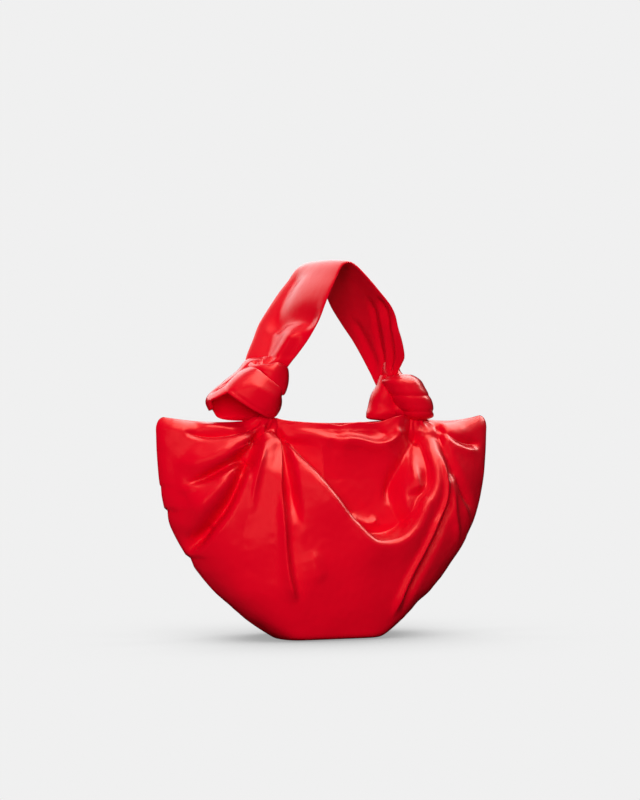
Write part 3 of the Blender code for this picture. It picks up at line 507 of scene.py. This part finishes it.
def body_depth(x, z):
    """Half depth of the filled body at a place of the front view."""
    half_width = np.interp(z, HALF_RIM[:, 1], HALF_RIM[:, 0])
    share = np.clip(np.abs(x) / np.maximum(half_width, 1e-6), 0.0, 1.0)
    power = PLAN_POWER + PLAN_FLOOR_POWER * np.exp(-z / PLAN_FLOOR_FADE)
    return np.interp(z, *DEPTH_LINE) * (1.0 - share ** power) ** PLAN_ROUND


def ear_line(x):
    """Height of the closed top edge of an ear."""
    inner = np.where(x < 0.0, NECK_LEFT - NECK_RADIUS, NECK_RIGHT + NECK_RADIUS)
    outer = np.where(x < 0.0, EAR_CORNER - WIDTH / 2.0, WIDTH / 2.0 - EAR_CORNER)
    t = np.clip((x - inner) / (outer - inner), 0.0, 1.0)
    return NECK_HEIGHT + (EAR_TOP - NECK_HEIGHT) * t - EAR_SAG * np.sin(math.pi * t)


def panel_surface(u, s, mouth):
    """The panel without its folds: u runs along the rim, s from the top edge to the rim."""
    tx, ty, tz = top_edge(u, mouth)
    bx, bz = np.interp(u, RIM_RUN, RIM[:, 0]), np.interp(u, RIM_RUN, RIM[:, 1])
    x = tx + (bx - tx) * s
    z = tz + (bz - tz) * s
    near_top = 1.0 - smooth(np.minimum(u / BASE_START, (1.0 - u) / (1.0 - BASE_END)) / SAG_REACH)
    z = z - EAR_SAG * np.sin(math.pi * s) * near_top
    under = np.clip((ear_line(x) - z) / EAR_ROUND, 0.0, 1.0)
    in_ear = (x < NECK_LEFT) | (x > NECK_RIGHT)
    closing = np.where(in_ear, np.sqrt(np.clip(1.0 - (1.0 - under) ** 2, 0.0, 1.0)), 1.0)
    rounding = (1.0 - (1.0 - np.clip(z / BASE_ROUND, 0.0, 1.0)) ** 5) ** 0.2
    filled = smooth(s / FILL_REACH)
    y = ty * (1.0 - filled) + body_depth(x, z) * closing * rounding * filled
    return np.stack([x, np.maximum(y, GAP / 2.0), np.maximum(z - GAP, 0.0)], -1)


def panel_columns(fan, along_mouth, rows, mouth):
    """Even rows down each column, ending in a narrow flat hem at the rim seam."""
    ear = BASE_START * np.linspace(0.0, 1.0, fan + 1) ** FAN_CROWDING
    middle = np.linspace(BASE_START, BASE_END, along_mouth + 1)[1:-1]
    left = np.concatenate([[0.0, BASE_START * FAN_FIRST], ear[1:]])
    fine = np.concatenate([np.linspace(0.0, 0.9, 300, endpoint=False),
                           1.0 - 0.1 * (1.0 - np.linspace(0.0, 1.0, 160)) ** 2.2])
    columns = []
    for u in np.concatenate([left, middle, 1.0 - left[::-1]]):
        line = panel_surface(np.full(len(fine), u), fine, mouth)
        run = lengths_along(line)
        stops = np.append(np.linspace(0.0, run[-1] - HEM, rows - 1), run[-1])
        columns.append(np.stack([np.interp(stops, run, line[:, k]) for k in range(3)], -1))
    return np.array(columns)


def outward(points):
    """Directions square to a panel's surface, away from the bag."""
    normal = np.cross(np.gradient(points, axis=1), np.gradient(points, axis=0))
    normal /= np.maximum(np.linalg.norm(normal, axis=-1, keepdims=True), 1e-9)
    return normal * np.sign(normal[len(points) // 2, points.shape[1] // 2, 1])


def beside(spots, path):
    """How far places of a flat cloth are from a path, the share along it, and which lie on its left."""
    run = lengths_along(path) / lengths_along(path)[-1]
    nearest = np.full(len(spots), 1.0)
    along = np.zeros(len(spots))
    on_left = np.zeros(len(spots), bool)
    for i, (a, b) in enumerate(zip(path[:-1], path[1:])):
        step = b - a
        t = np.clip((spots - a) @ step / max(step @ step, 1e-14), 0.0, 1.0)
        away = spots - a - t[:, None] * step
        distance = np.hypot(away[:, 0], away[:, 1])
        closer = distance < nearest
        nearest = np.where(closer, distance, nearest)
        along = np.where(closer, run[i] + t * (run[i + 1] - run[i]), along)
        on_left = np.where(closer, step[0] * away[:, 1] > step[1] * away[:, 0], on_left)
    return nearest, along, on_left


def fold_height(flat, path, fold):
    """How far one fold lifts each point of a cloth, over its path in the same flat plane."""
    lift, reach_left, reach_right, sharp, start, end, _ = fold
    margin = 3.2 * max(reach_left, reach_right) * MM
    near = np.all((flat > path.min(0) - margin) & (flat < path.max(0) + margin), axis=-1)
    nearest, along, on_left = beside(flat[near], path)
    reach = np.where(on_left, reach_left, reach_right) * MM
    height = np.zeros(flat.shape[:-1])
    height[near] = (lift * MM * np.exp(-(nearest / reach) ** sharp)
                    * smooth(along / start) * smooth((1.0 - along) / end))
    return height


def traced(line, mouth):
    """The flat path of a line given in shares of a panel."""
    u, s = np.array(line).T
    return curve_through(panel_surface(u, s, mouth)[:, [0, 2]], 8)


def swag_height(flat, mouth):
    """How far the swag's edge stands out, and how far the cloth behind it falls back into the hollow."""
    spots = flat.reshape(-1, 2)
    distance, along, inside = beside(spots, traced(SWAG, mouth))
    out, into = np.where(inside, 0.0, distance) / MM, np.where(inside, distance, 0.0) / MM
    ends = smooth(along / SWAG_STARTS) * smooth((1.0 - along) / SWAG_ENDS)
    over = 1.0 - np.sqrt(1.0 - np.clip(1.0 - out / SWAG_ROUND, 0.0, 1.0) ** 2)
    edge = SWAG_LIFT * np.exp(-(out / SWAG_REACH) ** 2.0) - SWAG_ROUND * over
    edge = MM * edge * (1.0 - smooth(into / SWAG_FALL)) * ends
    hollow = smooth(into / HOLLOW_EDGE)
    for soft, line in HOLLOW_BOUNDS:
        distance, _, inside = beside(spots, traced(line, mouth))
        hollow = hollow * smooth(np.where(inside, distance, 0.0) / MM / soft)
    return edge.reshape(flat.shape[:-1]), hollow.reshape(flat.shape[:-1])


def ripples(flat, seed, lift, count, shortest, longest):
    """A soft uneven ripple over a flat plane, up to its lift in mm, from waves of many directions."""
    pick = np.random.default_rng(seed)
    total = np.zeros(flat.shape[:-1])
    for _ in range(count):
        turn, shift = pick.uniform(0.0, 2.0 * math.pi, 2)
        wave = 2.0 * math.pi / pick.uniform(shortest, longest)
        total += np.sin(wave * (flat[..., 0] * math.cos(turn) + flat[..., 1] * math.sin(turn)) + shift)
    return lift * MM * total / math.sqrt(count) / 1.6


def ripples_along(points, seed, waves):
    """A ripple that changes along the rim only and is the same all down each column."""
    along = lengths_along(RIM)[-1] * np.linspace(0.0, 1.0, len(points))[:, None]
    return ripples(np.stack([along, 0.0 * along], -1), seed, *waves)


# Making pieces
def finish_piece(name, mesh, look):
    """An object of the bag from a finished mesh, in its material and slot."""
    mesh.shade_smooth()
    mesh.materials.append(look)
    made = bpy.data.objects.new(name, mesh)
    bpy.context.scene.collection.objects.link(made)
    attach(made, "root")
    return made


def cloth_mesh(name, points, flat, closed=False, ends=False, flip=False):
    """A grid moved to the given places, with the flat cloth's own coordinates as its UV map."""
    across, down = points.shape[:2]
    bm = bmesh.new()
    bmesh.ops.create_grid(bm, x_segments=across - 1, y_segments=down - 1, size=0.5)
    mesh = bpy.data.meshes.new(name)
    bm.to_mesh(mesh)
    places = np.empty(len(mesh.vertices) * 3)
    mesh.vertices.foreach_get("co", places)
    places = places.reshape(-1, 3)
    i = np.rint((places[:, 0] + 0.5) * (across - 1)).astype(int)
    j = np.rint((places[:, 1] + 0.5) * (down - 1)).astype(int)
    mesh.vertices.foreach_set("co", points[i, j].ravel())
    corners = np.empty(len(mesh.loops), int)
    mesh.loops.foreach_get("vertex_index", corners)
    layer = mesh.uv_layers.new(name="cloth")
    layer.data.foreach_set("uv", flat[i, j][corners].ravel())
    bm.clear()
    bm.from_mesh(mesh)
    if closed:
        bmesh.ops.remove_doubles(bm, verts=bm.verts, dist=0.00001)
    if ends:
        bmesh.ops.holes_fill(bm, edges=[edge for edge in bm.edges if edge.is_boundary])
    if closed:
        bmesh.ops.recalc_face_normals(bm, faces=bm.faces)
    elif flip:
        bmesh.ops.reverse_faces(bm, faces=bm.faces)
    bm.to_mesh(mesh)
    bm.free()
    return mesh


def lining_depth(x, z, mouth):
    """Half depth at which the lining hangs behind a place of a panel, or minus where there is none."""
    hang = smooth((LINING_TOP - LINING_FACING - z) / LINING_HANG)
    start, end = NECK_LEFT + NECK_RADIUS + CLOTH, NECK_RIGHT - NECK_RADIUS - CLOTH
    half = np.interp(z, HALF_RIM[:, 1], HALF_RIM[:, 0]) - LINING_SIDE_GAP
    left = start * (1.0 - hang) - half * hang
    right = end * (1.0 - hang) + half * hang
    across = (x - left) / (right - left)
    bow = np.sin(math.pi * np.clip(across, 0.0, 1.0)) ** LINING_BOW
    deep = (mouth - CLOTH - 2.0 * GAP) * (1.0 - hang) + (body_depth(0.0, z) - LINING_DEPTH_GAP) * hang
    there = (across > 0.0) & (across < 1.0) & (z < LINING_TOP) & (z > LINING_FLOOR)
    return np.where(there, deep * bow, -1.0)


def rim_steps(points, down):
    """How far the left rim steps in below the ends of its folds."""
    x, z = points[..., 0], points[..., 2] / MM
    inward = np.zeros(x.shape)
    for height, depth, length in RIM_STEPS:
        below = np.clip((height - z) / length, 0.0, 1.0)
        inward += depth * smooth((height - z) / RIM_STEP_EDGE) * (1.0 - below) ** 1.5
    return inward * MM * smooth((down - RIM_STEP_START) / RIM_STEP_GROW) * (x < 0.0)


def shouldered(points, down):
    """The front panel, with its top edge pushed up and forward where it meets the knots."""
    x = points[..., 0] / MM
    near = np.exp(-(down / SHOULDER_DEPTH) ** 2)
    for place, reach, lift, pull in SHOULDERS:
        share = np.exp(-((x - place) / reach) ** 2) * near
        points[..., 2] += lift * MM * share
        points[..., 1] += pull * MM * share
    return points


def panel_relief(points, down, folds, mouth, seed):
    """How far the folds, the slack and the gathers lift each point of a panel."""
    flat = points[..., [0, 2]]
    depth = bpy.context.scene.bag_sizes.fold_depth
    height = np.zeros(flat.shape[:2])
    for fold in folds:
        height += depth * fold_height(flat, traced(fold[-1], mouth), fold)
    height += ripples(flat, seed, *SLACK_WAVES)
    height += ripples(flat, seed + 10, *CREPE_WAVES)
    height += ripples_along(points, seed + 20, SEAM_WAVES) * smooth((down - SEAM_START) / SEAM_GROW)
    from_seam, from_floor = points[..., 1], points[..., 2]
    height *= smooth(from_seam / FADE_AT_SEAM) * smooth(from_floor / FADE_AT_FLOOR)
    height *= smooth(down / FADE_AT_TOP)
    near_top = np.exp(-(down / GATHER_END) ** 2) * smooth(down / GATHER_START)
    near_top = near_top * smooth(from_seam / GATHER_FADE)
    return height + ripples_along(points, seed + 30, GATHER_WAVES) * near_top


def hollowed(points, hollow):
    """The front panel, with the cloth behind the swag sunk to the hollow's floor."""
    from_neck = points[..., 0] - NECK_LEFT - NECK_RADIUS
    floor = np.minimum(np.interp(points[..., 2], *np.array(HOLLOW_FLOOR).T),
                       HOLLOW_CORNER + HOLLOW_TURN * np.maximum(from_neck, 0.0))
    points[..., 1] += (np.minimum(floor, points[..., 1]) - points[..., 1]) * hollow
    return points


def clear_of_lining(points, mouth):
    """A panel held just outside the lining, eased where the two would meet."""
    least = lining_depth(points[..., 0], points[..., 2], mouth) + CLOTH + GAP
    over = points[..., 1] - least
    eased = least + 0.5 * (over + np.sqrt(over ** 2 + LINING_EASE ** 2))
    points[..., 1] = np.where(least > 0.0, eased, points[..., 1])
    return points


def turned_in(edge, out):
    """Rows of cloth that turn a panel's top edge in and down, round the necks and at the mouth."""
    facing = bpy.context.scene.bag_sizes.facing
    radius = CLOTH / 2.0
    inward = -out * [1.0, 1.0, 0.0]
    inward /= np.maximum(np.linalg.norm(inward, axis=1, keepdims=True), 1e-9)
    from_middle = np.abs(edge[:, 0] - (NECK_LEFT + NECK_RIGHT) / 2.0)
    in_mouth = smooth((FACING_START - from_middle) / FACING_FADE)
    deep = NECK_FACING + (facing - NECK_FACING) * in_mouth
    rows = []
    for drop in np.linspace(1.0, 0.0, FACING_ROWS):
        rows.append(edge + inward * 2.0 * radius - np.outer(deep * drop, [0.0, 0.0, 1.0]))
    for turn in np.linspace(math.pi, 0.0, TURN_ROWS)[1:-1]:
        over = np.array([0.0, 0.0, radius * math.sin(turn)])
        rows.append(edge + inward * radius * (1.0 - math.cos(turn)) + over)
    return np.array(rows).transpose(1, 0, 2)


def panel_points(folds, mouth, seed, is_front):
    """A panel's folded surface, from its turned-in edge down to the rim."""
    sizes = bpy.context.scene.bag_sizes
    share = 1.0
    fan, rows = int(sizes.fan_columns * share), int(sizes.rows * share)
    if not is_front:
        fan, rows = int(fan * BACK_SHARE), int(rows * BACK_SHARE)
    points = panel_columns(fan, int(fan * MOUTH_SHARE), rows, mouth)
    down = np.linspace(0.0, 1.0, rows)[None, :]
    height = panel_relief(points, down, folds, mouth, seed)
    out = outward(points)
    if is_front:
        edge, hollow = swag_height(points[..., [0, 2]], mouth)
        height += edge
        points = hollowed(points, hollow)
    points = points + out * height[..., None]
    if is_front:
        points = shouldered(points, down)
    points = clear_of_lining(points, mouth)
    points[..., 0] += rim_steps(points, down)
    points[:, -1, 1] -= SEAM_LAP
    return np.concatenate([turned_in(points[:, 0], out[:, 0]), points], axis=1)


def flat_shares(points):
    """Running lengths down and along a cloth, for its UV map."""
    down = np.cumsum(np.linalg.norm(np.diff(points, axis=1, prepend=points[:, :1]), axis=-1), axis=1)
    along = np.cumsum(np.linalg.norm(np.diff(points, axis=0, prepend=points[:1]), axis=-1), axis=0)
    middle = np.broadcast_to(along[:, points.shape[1] // 2][:, None], down.shape)
    return np.stack([middle, down], -1)


def strip(edge_a, edge_b, grid, thick, crown, centre, folds=(), ring=False):
    """A soft flattened tube between two edges, crowned away from a centre, with its folds."""
    stations, sides = grid
    stops = np.linspace(0.0, 1.0, stations)
    a = resample(curve_through(edge_a, 12, ring), stops)
    b = resample(curve_through(edge_b, 12, ring), stops)
    middle = (a + b) / 2.0
    along = np.gradient(middle, axis=0)
    if ring:
        along[0] = along[-1] = middle[1] - middle[-2]
    across = b - a
    out = np.cross(across, along)
    out /= np.linalg.norm(out, axis=1, keepdims=True)
    out *= np.sign(np.sum(out * (middle - np.array(centre))))
    turn = np.linspace(0.0, 2.0 * math.pi, sides + 1)
    share = 0.5 - 0.5 * np.cos(turn)
    face = np.sign(np.sin(turn)) * np.abs(np.sin(turn)) ** STRIP_EDGE
    width = np.linalg.norm(across, axis=1)
    length = lengths_along(middle)
    flat = np.stack(np.broadcast_arrays(length[:, None], (share - 0.5)[None, :] * width[:, None]), -1)
    lift = crown * np.sin(math.pi * share)[None, :] * np.ones(stations)[:, None]
    for fold in folds:
        v, t = curve_through(np.array(fold[-1]), 8).T
        path = np.stack([v * length[-1], (t - 0.5) * np.interp(v, stops, width)], -1)
        lift = lift + fold_height(flat, path, fold)
    lift = lift + thick / 2.0 * face[None, :]
    points = a[:, None, :] + across[:, None, :] * share[None, :, None] + out[:, None, :] * lift[..., None]
    points[:, -1] = points[:, 0]
    if ring:
        points[-1] = points[0]
    around = np.stack(np.broadcast_arrays(length[:, None], (turn / math.pi)[None, :] * width[:, None]), -1)
    return points, around


def lump(neck, rings, creases, seed):
    """A soft lump of a knot, through rings of cloth, pinched at the heights of its creases."""
    rings = curve_through(rings, 10) * MM
    turn = np.linspace(0.0, 2.0 * math.pi, 97)
    z = rings[:, 2:3]
    flat = np.stack(np.broadcast_arrays(turn[None, :] * 0.015, z), -1)
    grow = ripples(flat, seed, *KNOT_WAVES)
    for height, depth in creases:
        grow = grow - depth * MM * np.exp(-np.abs((z - height * MM) / CREASE_REACH) ** 1.5)
    wide, deep = rings[:, 3:4] + grow, rings[:, 4:5] + grow
    points = np.stack([neck + rings[:, :1] + wide * np.cos(turn), rings[:, 1:2] + deep * np.sin(turn),
                       np.broadcast_to(z, wide.shape)], -1)
    points[:, -1] = points[:, 0]
    return points, flat


def merged(name, parts):
    """One mesh from several closed cloth tubes."""
    bm = bmesh.new()
    for number, (points, flat, ends) in enumerate(parts):
        piece = cloth_mesh(f"{name}_{number}", points, flat, closed=True, ends=ends)
        bm.from_mesh(piece)
        bpy.data.meshes.remove(piece)
    mesh = bpy.data.meshes.new(name)
    bm.to_mesh(mesh)
    bm.free()
    return mesh


# Materials
def node(tree, kind, settings=None, links=None):
    """A node with its settings and the sockets that feed it."""
    made = tree.nodes.new(kind)
    for name, value in (settings or {}).items():
        if name in made.inputs and not hasattr(made, name):
            made.inputs[name].default_value = value
        else:
            setattr(made, name, value)
    for name, source in (links or {}).items():
        tree.links.new(source, made.inputs[name])
    return made


def new_material(name, colour, roughness):
    """A material of one colour and roughness, with its node tree and shader."""
    look = bpy.data.materials.new(name)
    look.use_nodes = True
    tree = look.node_tree
    shader = tree.nodes["Principled BSDF"]
    shader.inputs["Base Color"].default_value = (*colour, 1.0)
    shader.inputs["Roughness"].default_value = roughness
    return look, tree, shader


def satin(name, colour, sheen, roughness):
    """Woven polyester satin: long warp floats give a soft wide sheen that follows the folds."""
    look, tree, shader = new_material(name, colour, roughness)
    place = node(tree, "ShaderNodeTexCoord")
    # Soft unevenness of hand-pressed cloth, about 14 mm across
    slack = node(tree, "ShaderNodeTexNoise", {"Scale": 70.0, "Detail": 3.0, "Roughness": 0.45},
                 {"Vector": place.outputs["Object"]})
    # Threads are 0.1 mm and too fine to show, so they are drawn 0.5 mm apart with 12 mm floats
    cloth = node(tree, "ShaderNodeUVMap", {"uv_map": "cloth"})
    floats = node(tree, "ShaderNodeMapping", links={"Vector": cloth.outputs["UV"]})
    floats.inputs["Scale"].default_value = (2000.0, 80.0, 1.0)
    threads = node(tree, "ShaderNodeTexNoise", {"Scale": 1.0, "Detail": 2.0},
                   {"Vector": floats.outputs["Vector"]})
    soft = node(tree, "ShaderNodeBump", {"Strength": 0.35, "Distance": 0.0012},
                {"Height": slack.outputs["Fac"]})
    fine = node(tree, "ShaderNodeBump", {"Strength": 0.12, "Distance": 0.0001},
                {"Height": threads.outputs["Fac"], "Normal": soft.outputs["Normal"]})
    shader.inputs["Specular IOR Level"].default_value = 0.66
    shader.inputs["Specular Tint"].default_value = (*sheen, 1.0)
    tree.links.new(fine.outputs["Normal"], shader.inputs["Normal"])
    return look


def finely_patterned(name, colour, roughness, pattern, settings, strength, height, turn=0.0):
    """A material with the fine relief of one pattern, turned by some degrees in the front view."""
    look, tree, shader = new_material(name, colour, roughness)
    place = node(tree, "ShaderNodeTexCoord")
    turned = node(tree, "ShaderNodeMapping", links={"Vector": place.outputs["Object"]})
    turned.inputs["Rotation"].default_value = (0.0, math.radians(turn), 0.0)
    relief = node(tree, pattern, settings, {"Vector": turned.outputs["Vector"]})
    bump = node(tree, "ShaderNodeBump", {"Strength": strength, "Distance": height},
                {"Height": relief.outputs["Fac"]})
    tree.links.new(bump.outputs["Normal"], shader.inputs["Normal"])
    return look, shader


def twill(name, colour):
    """Cotton twill: matt, with a fine slanting rib, drawn 0.9 mm apart so that it shows."""
    rib = {"Scale": 350.0, "Distortion": 0.4}
    return finely_patterned(name, colour, 0.75, "ShaderNodeTexWave", rib, 0.3, 0.0002, turn=35.0)[0]


def fibreboard(name, colour):
    """Pressed fibre board: dull grey, with a fleck of about 2 mm."""
    fleck = {"Scale": 500.0, "Detail": 4.0}
    return finely_patterned(name, colour, 0.85, "ShaderNodeTexNoise", fleck, 0.2, 0.0002)[0]


def plated_nickel(name, colour):
    """Polished nickel plating on a pressed disc: bright, with faint turning marks 0.4 mm apart."""
    marks = {"Scale": 2500.0}
    look, shader = finely_patterned(name, colour, 0.22, "ShaderNodeTexNoise", marks, 0.05, 0.0001)
    shader.inputs["Metallic"].default_value = 1.0
    return look


def satin_look():
    """The one satin that all the outer pieces share."""
    made = bpy.data.materials.get("red polyester satin")
    if made:
        return made
    look = bpy.context.scene.bag_look
    return satin("red polyester satin", look.satin, look.sheen, look.satin_roughness)


# Operators
class BAG_OT_panels(bpy.types.Operator):
    """Build the front and back panel as folded satin with turned-in edges"""
    bl_idname = "bag.panels"
    bl_label = "Body panels"

    def execute(self, context):
        for name, folds, mouth, seed, is_front in (("front_panel", FRONT_FOLDS, MOUTH_FRONT, 1, True),
                                                   ("back_panel", BACK_FOLDS, MOUTH_BACK, 2, False)):
            points = panel_points(folds, mouth, seed, is_front)
            points[..., 1] *= -1.0 if is_front else 1.0
            mesh = cloth_mesh(name + "_satin", points, flat_shares(points), flip=is_front)
            panel = finish_piece(name + "_satin", mesh, satin_look())
            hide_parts(name)
        return {"FINISHED"}


class BAG_OT_handle(bpy.types.Operator):
    """Build the handle's band of doubled satin over its arch"""
    bl_idname = "bag.handle"
    bl_label = "Handle band"

    def execute(self, context):
        sizes = context.scene.bag_sizes
        edges = []
        for shares in (BACK_EDGE, FRONT_EDGE):
            edges.append([(NECK_LEFT + (NECK_RIGHT - NECK_LEFT) * across, BAND_WIDTH * deep,
                           ARCH_FOOT + (ARCH_TOP - ARCH_FOOT) * up) for across, deep, up in shares])
        points, flat = strip(*edges, BAND_GRID, sizes.band_thickness, BAND_CROWN, BAND_CENTRE, HANDLE_FOLDS)
        band = finish_piece("handle_band", cloth_mesh("handle_band", points, flat, closed=True, ends=True),
                            satin_look())
        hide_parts("handle")
        return {"FINISHED"}


class BAG_OT_knots(bpy.types.Operator):
    """Tie the two knots from soft lumps, with flat straps round the left one's middle"""
    bl_idname = "bag.knots"
    bl_label = "Knots"

    def execute(self, context):
        thick = context.scene.bag_sizes.strap_thickness
        for side, neck, lumps, straps in (("left", NECK_LEFT, LEFT_LUMPS, LEFT_STRAPS),
                                          ("right", NECK_RIGHT, RIGHT_LUMPS, ())):
            parts = []
            centre = (neck + KNOT_CENTRE[0], KNOT_CENTRE[1], KNOT_CENTRE[2])
            for number, rings in enumerate(lumps):
                creases = KNOT_CREASES if (side, number) == ("right", 1) else ()
                parts.append((*lump(neck, rings, creases, 40 + number), True))
            for edge_a, edge_b, crown, ring, folds in straps:
                a = np.array(edge_a) * MM + [neck, 0.0, 0.0]
                b = np.array(edge_b) * MM + [neck, 0.0, 0.0]
                points, flat = strip(a, b, STRAP_GRID, thick, crown * MM, centre, folds, ring)
                parts.append((points, flat, not ring))
            knot = finish_piece(side + "_knot", merged(side + "_knot", parts), satin_look())
            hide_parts("handle")
        return {"FINISHED"}


class BAG_OT_inside(bpy.types.Operator):
    """Give the lining, the board and the snap their finish"""
    bl_idname = "bag.inside"
    bl_label = "Inside"

    def execute(self, context):
        look = context.scene.bag_look
        finishes = {
            "lining": twill("red cotton twill", look.lining),
            "base_board": fibreboard("grey fibre board", look.board),
            "snap_front": plated_nickel("polished nickel", look.nickel),
        }
        finishes["snap_back"] = finishes["snap_front"]
        for name, made in finishes.items():
            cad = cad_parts[name]
            for place in cad.material_slots:
                place.material = made
        return {"FINISHED"}


def soft_box(name, place, size, power, glossy, diffuse):
    """A rectangular studio lamp aimed at the bag."""
    lamp = bpy.data.lights.new(name, "AREA")
    lamp.shape = "RECTANGLE"
    lamp.size, lamp.size_y = size
    lamp.energy = power
    made = bpy.data.objects.new(name, lamp)
    made.location = place
    made.rotation_euler = (Vector(LAMP_AIM) - Vector(place)).to_track_quat("-Z", "Y").to_euler()
    made.visible_glossy = glossy
    made.visible_diffuse = diffuse
    bpy.context.scene.collection.objects.link(made)


def studio_world(backdrop):
    """Backdrop colour for the camera, and a dark room for the cloth, which the lamps light."""
    world = bpy.data.worlds.new("studio")
    bpy.context.scene.world = world
    world.use_nodes = True
    tree = world.node_tree
    tree.nodes.clear()
    seen = node(tree, "ShaderNodeBackground", {"Color": (*backdrop, 1.0)})
    room = node(tree, "ShaderNodeBackground", {"Color": (*linear("0D0D0D"), 1.0)})
    path = node(tree, "ShaderNodeLightPath")
    shown = node(tree, "ShaderNodeMixShader", links={"Fac": path.outputs["Is Camera Ray"]})
    tree.links.new(room.outputs[0], shown.inputs[1])
    tree.links.new(seen.outputs[0], shown.inputs[2])
    node(tree, "ShaderNodeOutputWorld", links={"Surface": shown.outputs[0]})


def studio_floor(backdrop):
    """A pale floor that glows as pale as the backdrop, with the bag's shadow painted on it from ambient
    occlusion, and turns into the backdrop farther out.
    """
    bm = bmesh.new()
    bmesh.ops.create_grid(bm, x_segments=1, y_segments=1, size=FLOOR_HALF)
    mesh = bpy.data.meshes.new("floor")
    bm.to_mesh(mesh)
    bm.free()
    look = bpy.data.materials.new("paper floor with painted shadow")
    look.use_nodes = True
    tree = look.node_tree
    tree.nodes.clear()
    # Painted shadow: for the camera the paper glows, darkened where ambient occlusion finds the bag close to
    # it, and leaves the rest as pale as the backdrop
    open_sky = node(tree, "ShaderNodeAmbientOcclusion", {"Distance": 0.20, "samples": 8})
    shade = node(tree, "ShaderNodeMapRange", {"interpolation_type": "SMOOTHSTEP"},
                 {"Value": open_sky.outputs["AO"]})
    for name, value in (("From Min", 0.20), ("From Max", 0.93), ("To Min", 0.42), ("To Max", 1.0)):
        shade.inputs[name].default_value = value
    # The paper's glow, dimmed by the painted shadow, is what the camera sees of the floor
    paper = node(tree, "ShaderNodeEmission", {"Color": (*backdrop, 1.0)},
                 {"Strength": shade.outputs["Result"]})
    dull = node(tree, "ShaderNodeBsdfDiffuse", {"Color": (*linear("6F6F6F"), 1.0)})
    none = node(tree, "ShaderNodeEmission", {"Color": (*linear("000000"), 1.0)})
    path = node(tree, "ShaderNodeLightPath")
    unseen = node(tree, "ShaderNodeMixShader", links={"Fac": path.outputs["Is Glossy Ray"]})
    tree.links.new(dull.outputs[0], unseen.inputs[1])
    tree.links.new(none.outputs[0], unseen.inputs[2])
    shown = node(tree, "ShaderNodeMixShader", links={"Fac": path.outputs["Is Camera Ray"]})
    tree.links.new(unseen.outputs[0], shown.inputs[1])
    tree.links.new(paper.outputs[0], shown.inputs[2])
    node(tree, "ShaderNodeOutputMaterial", links={"Surface": shown.outputs[0]})
    mesh.materials.append(look)
    floor = bpy.data.objects.new("floor", mesh)
    bpy.context.scene.collection.objects.link(floor)


def photo_camera(stage):
    """The camera at the photograph's angle."""
    camera = bpy.data.cameras.new("photo camera")
    camera.lens = stage.lens
    held = bpy.data.objects.new("photo camera", camera)
    turn, rise = stage.azimuth, stage.elevation
    back = Vector((math.sin(turn) * math.cos(rise), -math.cos(turn) * math.cos(rise), math.sin(rise)))
    held.location = Vector(CAMERA_AIM) + back * stage.distance
    held.rotation_euler = (-back).to_track_quat("-Z", "Y").to_euler()
    bpy.context.scene.collection.objects.link(held)
    bpy.context.scene.camera = held


class BAG_OT_stage(bpy.types.Operator):
    """Set the floor, the lamps, the backdrop and the camera"""
    bl_idname = "bag.stage"
    bl_label = "Studio stage"

    def execute(self, context):
        stage = context.scene.bag_stage
        studio_floor(stage.backdrop)
        studio_world(stage.backdrop)
        for name, settings in LAMPS.items():
            soft_box(name, *settings)
        photo_camera(stage)
        context.scene.view_settings.view_transform = "Standard"
        return {"FINISHED"}


class BAG_PT_steps(bpy.types.Panel):
    """The steps that build the bag"""
    bl_label = "Top Handle Bag"
    bl_idname = "BAG_PT_steps"
    bl_space_type = "VIEW_3D"
    bl_region_type = "UI"
    bl_category = "Bag"

    def draw(self, context):
        for group in (context.scene.bag_sizes, context.scene.bag_look, context.scene.bag_stage):
            for name in group.__annotations__:
                self.layout.prop(group, name)
        for step in STEPS:
            self.layout.operator(step.bl_idname)


STEPS = (BAG_OT_panels, BAG_OT_handle, BAG_OT_knots, BAG_OT_inside, BAG_OT_stage)
GROUPS = {"bag_sizes": BagSizes, "bag_look": BagLook, "bag_stage": BagStage}


def register():
    """Add the classes and their settings to Blender."""
    for cls in (*GROUPS.values(), *STEPS, BAG_PT_steps):
        bpy.utils.register_class(cls)
    for name, group in GROUPS.items():
        setattr(bpy.types.Scene, name, PointerProperty(type=group))


def unregister():
    """Take them out again."""
    for name in GROUPS:
        delattr(bpy.types.Scene, name)
    for cls in (BAG_PT_steps, *reversed(STEPS), *reversed(list(GROUPS.values()))):
        bpy.utils.unregister_class(cls)


def main():
    """Build the dressed bag and its stage."""
    register()
    bpy.ops.bag.panels()
    bpy.ops.bag.handle()
    bpy.ops.bag.knots()
    bpy.ops.bag.inside()
    bpy.ops.bag.stage()


if __name__ == "__main__":
    main()
